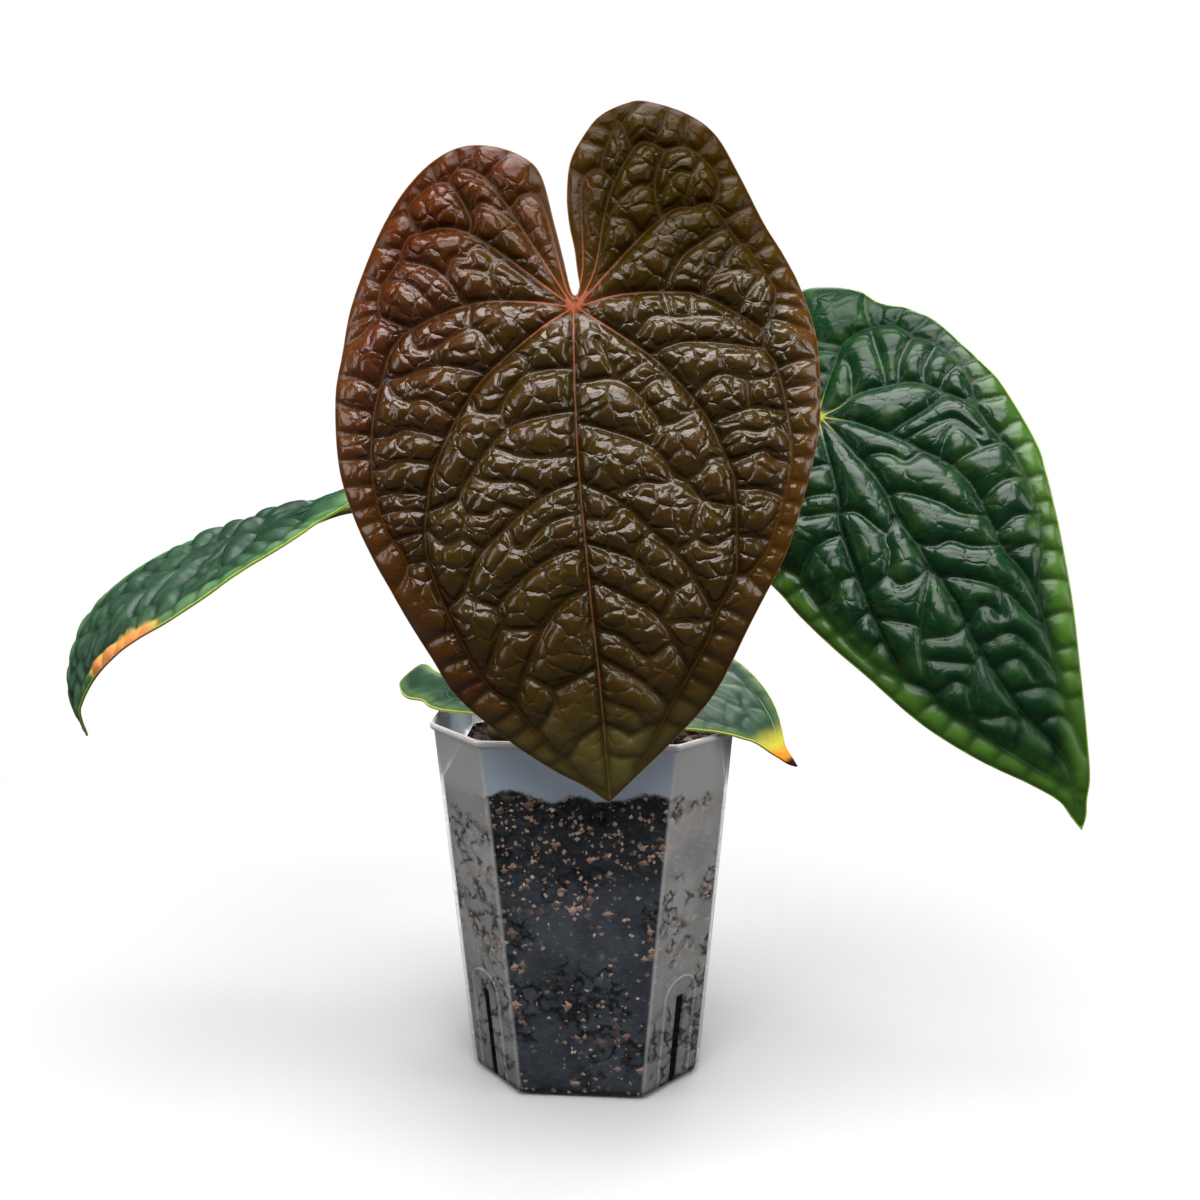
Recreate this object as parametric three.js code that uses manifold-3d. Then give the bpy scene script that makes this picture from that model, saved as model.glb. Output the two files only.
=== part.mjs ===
// Potted Anthurium luxurians: four puckered heart-shaped leaves on arching petioles, a short stem with
// aerial roots, bark substrate and a square translucent nursery pot with cut corners.
// Millimetres, +Z up. The origin is the centre of the pot's underside; the front is towards -Y.
import * as THREE from 'three';
import { mergeVertices } from 'three/addons/utils/BufferGeometryUtils.js';
import Module from 'manifold-3d';

const wasm = await Module();
wasm.setup();

// Driving dimensions of the pot
const potHeight = 153;
const potHalfTop = 58;
const potHalfFoot = 47;
const cornerCutTop = 21;
const cornerCutFoot = 22;
const wall = 1;
const floorThick = 1.4;
const rimHigh = 2.5;
const rimOut = 1.5;
const slitWide = 4.4;
const slitFrom = 2;
const slitTo = 43;
const archHalf = 8.3;
const archBand = 1.1;
const archProud = 0.5;

// Driving dimensions of the substrate, the stem and the petioles
const gap = 0.3;
const soilLevel = 130;
const soilMound = 6;
const stemAt = [-33, 6];
const stemRadius = 11;
const stemFoot = 104;
const stemTop = 142;
const petioleRadius = 2.1;
const petioleFootRadius = 3.2;
const petioleJointRadius = 2.7;
const bladeThick = 1.1;

// A repeatable draw between 0 and 1
function drawFrom(seed) {
  let state = seed;
  return () => {
    state = (state * 1664525 + 1013904223) % 4294967296;
    return state / 4294967296;
  };
}

// Closed meshes to manifold solids and back
function solidOf(geometry) {
  const bare = geometry.clone();
  bare.deleteAttribute('normal');
  bare.deleteAttribute('uv');
  const merged = mergeVertices(bare, 1e-4);
  const mesh = new wasm.Mesh({
    numProp: 3,
    vertProperties: new Float32Array(merged.attributes.position.array),
    triVerts: new Uint32Array(merged.index.array),
  });
  return new wasm.Manifold(mesh);
}

function geometryOf(solid) {
  const mesh = solid.getMesh();
  const geometry = new THREE.BufferGeometry();
  geometry.setAttribute('position', new THREE.BufferAttribute(new Float32Array(mesh.vertProperties), 3));
  geometry.setIndex([...mesh.triVerts]);
  return geometry;
}

function geometryFrom(points, triangles) {
  const geometry = new THREE.BufferGeometry();
  geometry.setAttribute('position', new THREE.Float32BufferAttribute(points.flat(), 3));
  geometry.setIndex(triangles.flat());
  return geometry;
}

// A solid through rings of equal point count, lowest ring first, each ring counter-clockwise from above
function stackRings(rings) {
  const count = rings[0].length;
  const points = rings.flat();
  const triangles = [];
  for (let level = 0; level < rings.length - 1; level += 1) {
    for (let i = 0; i < count; i += 1) {
      const a = level * count + i;
      const b = level * count + (i + 1) % count;
      triangles.push([a, b, b + count], [a, b + count, a + count]);
    }
  }
  for (const [level, flip] of [[0, true], [rings.length - 1, false]]) {
    const contour = rings[level].map(([x, y]) => new THREE.Vector2(x, y));
    for (const [a, b, c] of THREE.ShapeUtils.triangulateShape(contour, [])) {
      const first = level * count;
      triangles.push(flip ? [first + b, first + a, first + c] : [first + a, first + b, first + c]);
    }
  }
  return geometryFrom(points, triangles);
}

// The pot's plan at a height: a square with cut corners, each side split in equal parts
function potRing(z, inset, split = 1) {
  const t = z / potHeight;
  const half = potHalfFoot + (potHalfTop - potHalfFoot) * t - inset;
  const cut = cornerCutFoot + (cornerCutTop - cornerCutFoot) * t - inset * (2 - Math.SQRT2);
  const corners = [];
  for (let quarter = 0; quarter < 4; quarter += 1) {
    const turn = (quarter * Math.PI) / 2;
    for (const [x, y] of [[half, cut - half], [half, half - cut]]) {
      corners.push([x * Math.cos(turn) - y * Math.sin(turn), x * Math.sin(turn) + y * Math.cos(turn)]);
    }
  }
  const ring = [];
  corners.forEach((corner, i) => {
    const next = corners[(i + 1) % corners.length];
    for (let part = 0; part < split; part += 1) {
      const f = part / split;
      ring.push([corner[0] + (next[0] - corner[0]) * f, corner[1] + (next[1] - corner[1]) * f, z]);
    }
  });
  return ring;
}

// The pot: thin tapered walls, a rolled rim, and at each cut corner one drain slit under a raised arch
function makePot() {
  const rimFoot = potHeight - rimHigh;
  const outer = solidOf(stackRings([potRing(0, 0), potRing(rimFoot, 0), potRing(rimFoot, -rimOut),
    potRing(potHeight, -rimOut)]));
  const inner = solidOf(stackRings([potRing(floorThick, wall), potRing(potHeight + 1, wall)]));
  let pot = outer.subtract(inner);
  const footReach = (2 * potHalfFoot - cornerCutFoot) / Math.SQRT2;
  const topReach = (2 * potHalfTop - cornerCutTop) / Math.SQRT2;
  const lean = Math.atan2(topReach - footReach, potHeight);
  const arch = new THREE.Shape();
  arch.moveTo(-archHalf, 1);
  arch.lineTo(-archHalf, slitTo);
  arch.absarc(0, slitTo, archHalf, Math.PI, 0, true);
  arch.lineTo(archHalf, 1);
  arch.lineTo(archHalf - archBand, 1);
  arch.lineTo(archHalf - archBand, slitTo);
  arch.absarc(0, slitTo, archHalf - archBand, 0, Math.PI, false);
  arch.lineTo(archBand - archHalf, 1);
  for (let corner = 0; corner < 4; corner += 1) {
    const turn = Math.PI / 4 + (corner * Math.PI) / 2;
    const slit = new THREE.BoxGeometry(20, slitWide, slitTo - slitFrom);
    slit.translate(footReach, 0, (slitFrom + slitTo) / 2);
    slit.rotateZ(turn);
    pot = pot.subtract(solidOf(slit));
    const raised = new THREE.ExtrudeGeometry(arch, {
      depth: archProud + wall / 2, bevelEnabled: false, curveSegments: 4,
    });
    raised.rotateX(Math.PI / 2);
    raised.rotateZ(Math.PI / 2);
    raised.translate(-wall / 2, 0, 0);
    raised.rotateY(lean);
    raised.translate(footReach, 0, 0);
    raised.rotateZ(turn);
    pot = pot.add(solidOf(raised));
  }
  return geometryOf(pot);
}

// A smooth curve through points, by three's uniform Catmull-Rom
function curveThrough(points, closed = false) {
  const vectors = points.map((p) => new THREE.Vector3(p[0], p[1], p[2] ?? 0));
  return new THREE.CatmullRomCurve3(vectors, closed, 'catmullrom', 0.5);
}

// A round stalk along a curve, with its radius given by the share of its length
function makeStalk(points, radiusAt, steps, sides = 8) {
  const path = curveThrough(points);
  const section = new THREE.Shape();
  for (let i = 0; i < sides; i += 1) {
    const turn = (2 * Math.PI * i) / sides;
    if (i === 0) section.moveTo(1, 0);
    else section.lineTo(Math.cos(turn), Math.sin(turn));
  }
  const stalk = new THREE.ExtrudeGeometry(section, { steps, extrudePath: path, bevelEnabled: false });
  const centres = path.getSpacedPoints(steps);
  const position = stalk.attributes.position;
  const point = new THREE.Vector3();
  for (let i = 0; i < position.count; i += 1) {
    point.fromBufferAttribute(position, i);
    let ring = 0;
    for (let k = 1; k <= steps; k += 1) {
      const miss = Math.abs(point.distanceTo(centres[k]) - 1);
      if (miss < Math.abs(point.distanceTo(centres[ring]) - 1)) ring = k;
    }
    point.sub(centres[ring]).multiplyScalar(radiusAt(ring / steps)).add(centres[ring]);
    position.setXYZ(i, point.x, point.y, point.z);
  }
  return stalk;
}

// A petiole is thicker at its foot and at the joint under the blade
function petioleSwell(f) {
  const foot = Math.max(0, 1 - f / 0.12) * (petioleFootRadius - petioleRadius);
  const joint = Math.max(0, (f - 0.93) / 0.07) * (petioleJointRadius - petioleRadius);
  return petioleRadius + foot + joint;
}

// Petioles, from their seat in the stem towards the back of their blade
const petioleRoutes = {
  bronze: [[-36, 1, 130], [-37.5, 0, 150], [-40, -1, 170], [-42, -8, 212], [-36, -22, 256], [-18, -42, 291]],
  right: [[-33, 12, 130], [-34.5, 11, 150], [-37, 9, 170], [-31, 17, 200], [-8, 30, 224], [30, 42, 238],
    [62, 45, 245], [86, 39, 252]],
  left: [[-39.5, 7.5, 130], [-42.5, 6.5, 150], [-46, 5, 170], [-54, 8, 204], [-72, 7, 226],
    [-95, 3, 231.6], [-115, 0, 226]],
  small: [[-27, 4, 130], [-26, 5, 146], [-25.5, 4, 158]],
};

// Aerial roots, from the side of the stem down into the substrate
const rootRoutes = {
  front: [[-29.5, -2.5, 137], [-26, -9, 140], [-20, -19, 136], [-16, -26, 126], [-15, -28, 116]],
  side: [[-24.5, 10.5, 138], [-13, 16, 141], [-2, 19, 136], [5, 20, 127], [7, 20, 118]],
  back: [[-37, 14.8, 138], [-41, 25, 139], [-43, 34, 134], [-43, 39, 125], [-43, 40, 117]],
};
const rootRadius = 1.9;

// The same route with its start moved back by the gap
function startedEarlier(route) {
  const start = new THREE.Vector3(...route[0]);
  const back = start.clone().sub(new THREE.Vector3(...route[1])).setLength(gap);
  return [start.add(back).toArray(), ...route.slice(1)];
}

// The stem: a short ringed rhizome with a plain socket for each petiole and root
function makeStem() {
  const profile = [[0, stemFoot], [5, stemFoot], [8, stemFoot + 6]];
  for (let ring = 0; ring < 4; ring += 1) {
    const z = stemFoot + 12 + ring * 6;
    profile.push([stemRadius - 1.2, z - 2.4], [stemRadius, z]);
  }
  profile.push([stemRadius - 1, stemTop - 4], [stemRadius - 4, stemTop - 1], [0, stemTop]);
  const body = new THREE.LatheGeometry(profile.map(([r, z]) => new THREE.Vector2(r, z)), 16);
  body.rotateX(Math.PI / 2);
  body.translate(stemAt[0], stemAt[1], 0);
  let stem = solidOf(body);
  for (const route of Object.values(petioleRoutes)) {
    const foot = startedEarlier(route.slice(0, 3));
    stem = stem.subtract(solidOf(makeStalk(foot, () => petioleFootRadius + gap, 6)));
  }
  for (const route of Object.values(rootRoutes)) {
    stem = stem.subtract(solidOf(makeStalk(startedEarlier(route), () => rootRadius + gap, 12)));
  }
  return geometryOf(stem);
}

// Outlines and veins, in flat leaf coordinates: u across the blade, v from the attachment to the tip.
// Each outline side runs from the sinus over its lobe to the tip; each vein is a polyline of points.
const bronzeOutline = {
  right: [[0.5, -4], [2, -6], [0, -20], [-3, -39], [-2, -51], [8, -67], [23, -72], [37, -68], [55, -48],
    [64, -31], [77, -8], [82, 9], [83, 30], [81, 49], [73, 76], [53, 115], [29, 147], [10, 165], [0.5, 174]],
  left: [[0.5, -4], [-1, -6], [-7, -29], [-12, -46], [-19, -53], [-30, -57], [-41, -57], [-51, -52],
    [-67, -32], [-79, -3], [-85, 25], [-85, 48], [-81, 65], [-68, 94], [-50, 131], [-34, 148], [-8, 167],
    [0.5, 174]],
};
const bronzeVeins = [
  [[0, 0], [0, 50], [1, 90], [1, 172]],
  [[0, 0], [-29, 21], [-43, 39], [-52, 60], [-54, 82], [-42, 119], [-7, 165]],
  [[0, 0], [-35, -2], [-56, 5], [-62, 10], [-71, 35], [-72, 54], [-69, 70], [-62, 83], [-68, 93]],
  [[0, 0], [-36, -26], [-54, -27], [-59, -24], [-68, -6], [-66, 1], [-56, 5]],
  [[-36, -26], [-36, -32], [-44, -44], [-51, -43], [-58, -37], [-54, -27]],
  [[0, 0], [-30, -44], [-35, -48], [-40, -49], [-44, -44]],
  [[0, -3], [-11, -35], [-18, -39], [-22, -34]],
  [[1, 0], [25, 17], [38, 31], [47, 47], [52, 64], [51, 91], [47, 101], [39, 117], [11, 160]],
  [[1, 0], [16, -4], [36, -5], [51, 0], [63, 8], [64, 15], [68, 22], [72, 51], [63, 84], [54, 95],
    [50, 95]],
  [[1, 0], [29, -31], [46, -36], [67, -9], [68, -4], [63, 8]],
  [[29, -31], [27, -46], [30, -55]],
  [[1, 0], [7, -13], [13, -43], [20, -56], [37, -56], [45, -50], [48, -45], [46, -36]],
  [[1, -3], [3, -15], [2, -40], [5, -47], [9, -47], [13, -43]],
  [[9, -47], [9, -52], [14, -64], [18, -56]],
  [[-1, 35], [-23, 40], [-41, 62], [-52, 66]],
  [[0, 58], [-14, 64], [-34, 80], [-42, 93], [-48, 98]],
  [[-1, 81], [-8, 82], [-19, 88], [-30, 98], [-30, 105], [-38, 122]],
  [[0, 95], [-6, 97], [-15, 106], [-29, 134]],
  [[1, 122], [-14, 129], [-15, 134], [-22, 145]],
  [[1, 143], [-8, 148], [-14, 157]],
  [[-1, 21], [-15, 22], [-21, 27], [-25, 35], [-23, 40]],
  [[-66, 20], [-61, 21], [-46, 18], [-29, 21]],
  [[-71, 40], [-58, 38], [-46, 41]],
  [[-71, 60], [-52, 60]],
  [[-67, 75], [-53, 72]],
  [[-62, 83], [-54, 82]],
  [[-61, -18], [-50, -15], [-43, -10], [-37, -2]],
  [[1, 26], [15, 26], [25, 36], [28, 42]],
  [[1, 39], [24, 48], [32, 59], [41, 67], [52, 70]],
  [[1, 59], [14, 67], [30, 84], [36, 93], [42, 108]],
  [[1, 79], [17, 86], [28, 98], [24, 108]],
  [[1, 91], [24, 108], [32, 128]],
  [[1, 106], [18, 120], [26, 116]],
  [[1, 118], [14, 127], [24, 139]],
  [[1, 143], [10, 148], [21, 144]],
  [[25, 17], [38, 13], [64, 15]],
  [[45, 41], [58, 37], [71, 38]],
  [[50, 54], [62, 51], [65, 54], [72, 56]],
  [[53, 64], [69, 68]],
  [[52, 80], [64, 83]],
  [[55, -24], [51, -28], [42, -22], [36, -17], [29, -5]],
  [[55, -23], [43, -4]],
];
const greenOutline = {
  right: [[0, -4], [3, -6], [6, -22], [10, -42], [15, -60], [22, -68], [33, -62], [46, -40], [60, -17],
    [65, 15], [64, 54], [57, 79], [44, 115], [24, 161], [18, 174], [13, 181], [10, 186], [6, 190]],
  left: [[0, -4], [-3, -6], [-6, -22], [-10, -42], [-15, -58], [-24, -66], [-36, -59], [-47, -42],
    [-56, -22], [-61, 4], [-60, 28], [-50, 55], [-41, 88], [-28, 124], [-13, 152], [-2, 167], [4, 177],
    [5, 184], [6, 190]],
};
const greenVeins = [
  [[0, 0], [6, 40], [5, 55], [7, 126], [13, 161], [13, 170], [10, 182]],
  [[0, 0], [13, 15], [32, 48], [34, 66], [32, 85], [34, 102], [20, 166]],
  [[23, -27], [32, -29], [40, -27], [46, -22], [49, -13], [55, -4], [57, 8], [52, 36], [54, 57], [51, 74],
    [46, 90], [32, 113]],
  [[-1, 1], [-10, 35], [-16, 49], [-22, 86], [-23, 112]],
  [[-39, 58], [-37, 80], [-30, 103], [-18, 119], [-13, 135], [10, 176]],
  [[0, 0], [18, 0], [33, 5], [40, 10], [51, 28], [52, 36]],
  [[19, 23], [44, 20]],
  [[1, -1], [23, -27]],
  [[0, 0], [-22, 1], [-33, 5], [-42, 14], [-48, 38], [-39, 58]],
  [[-1, -1], [-9, -12], [-22, -27], [-32, -29], [-46, -20], [-54, 4], [-53, 20], [-48, 38]],
  [[-19, 1], [-22, -18]],
  [[-31, 3], [-36, -26]],
  [[-39, 10], [-50, -10]],
  [[-13, 43], [-30, 36], [-45, 24]],
  [[32, 48], [52, 48]],
  [[34, 66], [42, 63], [53, 65]],
  [[34, 79], [42, 77], [50, 80]],
  [[34, 88], [46, 91]],
  [[15, 0], [21, -18]],
  [[27, 3], [30, -1], [36, -26]],
  [[33, 5], [39, -5], [48, -13]],
  [[42, 12], [44, 5], [54, -4]],
  [[45, 17], [57, 9]],
  [[23, 29], [43, 32], [47, 42]],
  [[29, 44], [36, 37], [42, 35], [45, 46]],
  [[4, 29], [9, 28], [15, 32], [18, 38], [25, 37]],
  [[6, 46], [12, 49], [25, 66], [33, 72]],
  [[6, 68], [11, 73], [17, 74], [23, 80], [34, 85]],
  [[7, 84], [24, 99], [31, 118]],
  [[7, 112], [17, 114], [21, 118], [25, 138]],
  [[8, 134], [18, 137], [24, 145]],
  [[9, 150], [19, 149], [22, 155]],
  [[8, 105], [14, 101], [19, 108], [24, 99]],
  [[8, 124], [17, 125], [18, 134]],
  [[-12, 43], [-7, 47], [-2, 60], [4, 55]],
  [[-20, 76], [-10, 75], [-8, 80], [-1, 81], [6, 78]],
  [[-2, 60], [-10, 75]],
  [[6, 79], [-9, 99], [-17, 122]],
  [[-22, 86], [-10, 96], [-10, 100]],
  [[7, 114], [-3, 125], [-10, 141]],
  [[-17, 121], [-7, 121], [-4, 126]],
  [[-10, 102], [1, 106], [7, 104]],
  [[-13, 109], [2, 119]],
  [[-8, 134], [5, 144]],
  [[8, 141], [-2, 155]],
  [[12, 158], [4, 167]],
  [[-12, 43], [-26, 37]],
  [[-16, 51], [-29, 51], [-39, 58]],
  [[-20, 69], [-27, 68], [-32, 72], [-38, 72]],
  [[-22, 83], [-35, 87]],
  [[-23, 95], [-32, 98]],
];

// Flat points stretched sideways and lengthwise, the lobes by a factor of their own
function stretched(points, sideways, lengthwise, lobes) {
  return points.map(([u, v]) => [u * sideways, v * (v < 0 ? lobes : lengthwise)]);
}

// A green leaf of the shared form; a negative sideways factor mirrors it
function greenLeaf(sideways, lengthwise, lobes, sinus) {
  const side = (points, mirror) => {
    const outer = stretched(points, sideways, lengthwise, lobes);
    return sinus ? [[0, -4], ...sinus.map(([u, v]) => [u * mirror, v]), ...outer.slice(5)] : outer;
  };
  const turn = Math.sign(sideways);
  const sides = [side(greenOutline.right, turn), side(greenOutline.left, -turn)];
  if (turn < 0) sides.reverse();
  return {
    outline: { right: sides[0], left: sides[1] },
    veins: greenVeins.map((vein) => stretched(vein, sideways, lengthwise, lobes)),
  };
}

// The four leaves: the course of the midrib in space from behind the attachment to the tip, the direction
// across the blade at the attachment and at the tip, the curl in degrees per 100 mm, and the mesh spacing
const leaves = {
  bronze: {
    rib: [[0, -47, 374], [0, -66, 308], [2, -76, 262], [5, -80, 218], [9, -79, 178], [12, -74, 138]],
    across: [[1, 0, 0], [1, 0, 0]],
    curl: [16, 16],
    outline: bronzeOutline,
    veins: bronzeVeins,
    spacing: 4.7,
    puff: 11,
    seed: 11,
  },
  right: {
    rib: [[69, 68, 310], [93, 20, 268], [112, -7, 236], [132, -28, 201], [154, -43, 163], [176, -52, 125]],
    across: [[0.86, 0, 0.51], [0.86, 0, 0.51]],
    curl: [12, 12],
    ...greenLeaf(1, 1, 1),
    spacing: 5.3,
    puff: 9,
    seed: 12,
  },
  left: {
    rib: [[-98, 3, 236], [-133, -3, 223], [-152, -6, 214], [-181, -10, 199], [-197, -12, 187],
      [-208, -13, 173], [-214, -14, 155], [-210, -13, 137]],
    across: [[0.10, -1, -0.14], [0.90, -1, -0.28]],
    curl: [14, 8],
    ...greenLeaf(0.75, 0.68, 0.68),
    spacing: 4.9,
    puff: 6.5,
    seed: 13,
  },
  small: {
    rib: [[-62, 13, 166], [-27, 0, 171], [18, -14, 172], [52, -23, 165], [71, -29, 156], [82, -34, 143]],
    across: [[0.33, 1, 0.36], [0.5, 1, 0.32]],
    curl: [-18, -6],
    ...greenLeaf(-0.76, 0.67, 0.75, [[9, -7], [14, -15], [15, -26], [11, -36], [5, -44], [5, -49]]),
    spacing: 5.8,
    puff: 4,
    seed: 14,
  },
};

// The smooth sheet of a blade: flat leaf coordinates to space, bent along the midrib and curled across it
function makeSheet({ rib, across, curl }) {
  const path = new THREE.CatmullRomCurve3(rib.map((p) => new THREE.Vector3(...p)), false, 'catmullrom', 0.5);
  path.arcLengthDivisions = 400;
  const whole = path.getLength();
  const lengths = path.getLengths(400);
  const lobe = lengths[Math.round(400 / (rib.length - 1))];
  const length = whole - lobe;
  const from = new THREE.Vector3(...across[0]);
  const to = new THREE.Vector3(...across[1]);
  const frameAt = (v) => {
    const share = Math.min(1, Math.max(0, (v + lobe) / whole));
    const origin = path.getPointAt(share);
    const along = path.getTangentAt(share);
    origin.addScaledVector(along, v + lobe - share * whole);
    const f = Math.min(1, Math.max(-0.5, v / length));
    const side = from.clone().multiplyScalar(1 - f).addScaledVector(to, f);
    side.addScaledVector(along, -side.dot(along)).normalize();
    const out = new THREE.Vector3().crossVectors(along, side);
    return { origin, side, out, curve: THREE.MathUtils.degToRad(curl[0] * (1 - f) + curl[1] * f) / 100 };
  };
  const at = (u, v, height) => {
    const { origin, side, out, curve } = frameAt(v);
    const turn = curve * u;
    const x = Math.sin(turn) / curve + height * Math.sin(turn);
    const z = (Math.cos(turn) - 1) / curve + height * Math.cos(turn);
    return origin.addScaledVector(side, x).addScaledVector(out, z);
  };
  return { at, frameAt };
}

// Points along a flat polyline, smoothed and about evenly spaced, ends kept
function spaced(points, spacing) {
  const curve = curveThrough(points);
  const parts = Math.max(1, Math.round(curve.getLength() / spacing));
  return curve.getSpacedPoints(parts).map((p) => [p.x, p.y]);
}

function insidePolygon([x, y], ring) {
  let inside = false;
  for (let i = 0, j = ring.length - 1; i < ring.length; j = i, i += 1) {
    const [ax, ay] = ring[i];
    const [bx, by] = ring[j];
    if ((ay > y) !== (by > y) && x < ((bx - ax) * (y - ay)) / (by - ay) + ax) inside = !inside;
  }
  return inside;
}

// Delaunay triangles of flat points, by adding one point at a time
function delaunay(points) {
  const all = [...points, [-4000, -4000], [4000, -4000], [0, 6000]];
  const circle = (a, b, c) => {
    const [ax, ay] = all[a];
    const bx = all[b][0] - ax;
    const by = all[b][1] - ay;
    const cx = all[c][0] - ax;
    const cy = all[c][1] - ay;
    const d = 2 * (bx * cy - by * cx);
    const x = (cy * (bx * bx + by * by) - by * (cx * cx + cy * cy)) / d;
    const y = (bx * (cx * cx + cy * cy) - cx * (bx * bx + by * by)) / d;
    return { a, b, c, x: x + ax, y: y + ay, r: x * x + y * y };
  };
  let triangles = [circle(points.length, points.length + 1, points.length + 2)];
  for (let p = 0; p < points.length; p += 1) {
    const [x, y] = points[p];
    const edges = new Map();
    const kept = [];
    for (const t of triangles) {
      if ((x - t.x) ** 2 + (y - t.y) ** 2 >= t.r) {
        kept.push(t);
        continue;
      }
      for (const [a, b] of [[t.a, t.b], [t.b, t.c], [t.c, t.a]]) {
        if (edges.has(`${b},${a}`)) edges.delete(`${b},${a}`);
        else edges.set(`${a},${b}`, [a, b]);
      }
    }
    for (const [a, b] of edges.values()) kept.push(circle(a, b, p));
    triangles = kept;
  }
  return triangles.filter((t) => Math.max(t.a, t.b, t.c) < points.length);
}

// The flat mesh of a blade: the outline, points along the veins and a filling lattice
function flatMesh({ outline, veins, spacing, seed }) {
  const draw = drawFrom(seed);
  const right = spaced(outline.right, spacing);
  const left = spaced(outline.left, spacing);
  let ring = [...right.slice(0, -1), ...left.reverse().slice(0, -1)];
  const grown = [];
  const far = (p, others, distance) => others.every((q) => Math.hypot(p[0] - q[0], p[1] - q[1]) > distance);
  for (const vein of veins) {
    for (const p of spaced(vein, spacing)) {
      const clear = far(p, ring, spacing * 0.5) && far(p, grown, spacing * 0.62);
      if (clear && insidePolygon(p, ring)) grown.push(p);
    }
  }
  for (let row = 0; row < 70; row += 1) {
    for (let column = 0; column < 50; column += 1) {
      const shake = () => (draw() - 0.5) * spacing * 0.2;
      const u = (column - 25 + (row % 2) / 2) * spacing + shake();
      const v = (row - 18) * spacing * 0.87 + shake();
      const p = [u, v];
      const clear = far(p, ring, spacing * 0.6) && far(p, grown, spacing * 0.7);
      if (clear && insidePolygon(p, ring)) grown.push(p);
    }
  }
  for (let round = 0; round < 6; round += 1) {
    const points = [...ring, ...grown];
    const triangles = delaunay(points);
    const sides = new Set();
    for (const { a, b, c } of triangles) {
      for (const [i, j] of [[a, b], [b, c], [c, a]]) sides.add(`${i},${j}`).add(`${j},${i}`);
    }
    const finer = [];
    ring.forEach((p, i) => {
      const j = (i + 1) % ring.length;
      finer.push(p);
      if (!sides.has(`${i},${j}`)) finer.push([(p[0] + ring[j][0]) / 2, (p[1] + ring[j][1]) / 2]);
    });
    if (finer.length === ring.length) {
      const middle = (t, k) => (points[t.a][k] + points[t.b][k] + points[t.c][k]) / 3;
      const inner = triangles.filter((t) => insidePolygon([middle(t, 0), middle(t, 1)], ring));
      return { points, rim: ring.length, triangles: inner.map((t) => [t.a, t.b, t.c]) };
    }
    ring = finer;
  }
  throw new Error('the outline could not be kept');
}

// How far the blade puffs up at a flat point: nought on the veins and the margin, full between them
function makeRelief({ outline, veins, puff }) {
  const cell = 2;
  const columns = 100;
  const rows = 135;
  const ring = [...spaced(outline.right, 2), ...spaced(outline.left, 2).reverse()];
  const open = new Float64Array(columns * rows);
  const height = new Float64Array(columns * rows);
  const index = (u, v) => Math.round(v / cell + 40) * columns + Math.round(u / cell + 50);
  for (let row = 0; row < rows; row += 1) {
    for (let column = 0; column < columns; column += 1) {
      const p = [(column - 50) * cell, (row - 40) * cell];
      if (insidePolygon(p, ring)) open[row * columns + column] = 1;
    }
  }
  for (const vein of veins) {
    for (const [u, v] of spaced(vein, 1)) open[index(u, v)] = 0;
  }
  const reach = 7;
  const pull = (reach / cell) ** 2;
  for (let round = 0; round < 80; round += 1) {
    for (let i = columns; i < open.length - columns; i += 1) {
      const around = height[i - 1] + height[i + 1] + height[i - columns] + height[i + columns];
      if (open[i]) height[i] = (1 + pull * around) / (1 + 4 * pull);
    }
  }
  return (u, v) => {
    const x = u / cell + 50;
    const y = v / cell + 40;
    const i = Math.floor(y) * columns + Math.floor(x);
    const fx = x - Math.floor(x);
    const fy = y - Math.floor(y);
    const low = height[i] * (1 - fx) + height[i + 1] * fx;
    const high = height[i + columns] * (1 - fx) + height[i + columns + 1] * fx;
    const clear = THREE.MathUtils.smoothstep(Math.hypot(u, v), 3, 12);
    return puff * (low * (1 - fy) + high * fy) * clear;
  };
}

// A blade: both faces share one flat mesh and one relief, so the thickness is even
function makeBlade(leaf) {
  const { at } = makeSheet(leaf);
  const relief = makeRelief(leaf);
  const { points, rim, triangles } = flatMesh(leaf);
  const faces = [1, -1].map((side) => points.map(([u, v], i) => {
    const lift = i < rim ? 0 : relief(u, v);
    return at(u, v, lift + (side * bladeThick) / 2).toArray();
  }));
  const count = points.length;
  const shell = [];
  for (const [a, b, c] of triangles) shell.push([b, a, c], [a + count, b + count, c + count]);
  for (let i = 0; i < rim; i += 1) {
    const j = (i + 1) % rim;
    shell.push([i, j, j + count], [i, j + count, i + count]);
  }
  return solidOf(geometryFrom(faces.flat(), shell));
}

// A petiole runs its course, then turns to meet the back of its blade, and is cut flat just short of it
function makePetiole(name) {
  const { at, frameAt } = makeSheet(leaves[name]);
  const approach = name === 'left' ? at(0, -7, -5) : at(0, -3, -8);
  const route = [...petioleRoutes[name], approach.toArray(), at(0, 0, 2).toArray()];
  const stalk = solidOf(makeStalk(route, petioleSwell, name === 'small' ? 9 : 22));
  const { origin, side, out } = frameAt(0);
  const cutter = new THREE.BoxGeometry(16, 16, 12);
  cutter.translate(0, 0, 6 - bladeThick / 2 - gap);
  const turn = new THREE.Matrix4().makeBasis(side, new THREE.Vector3().crossVectors(out, side), out);
  cutter.applyMatrix4(turn.setPosition(origin));
  return geometryOf(stalk.subtract(solidOf(cutter)));
}

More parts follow.
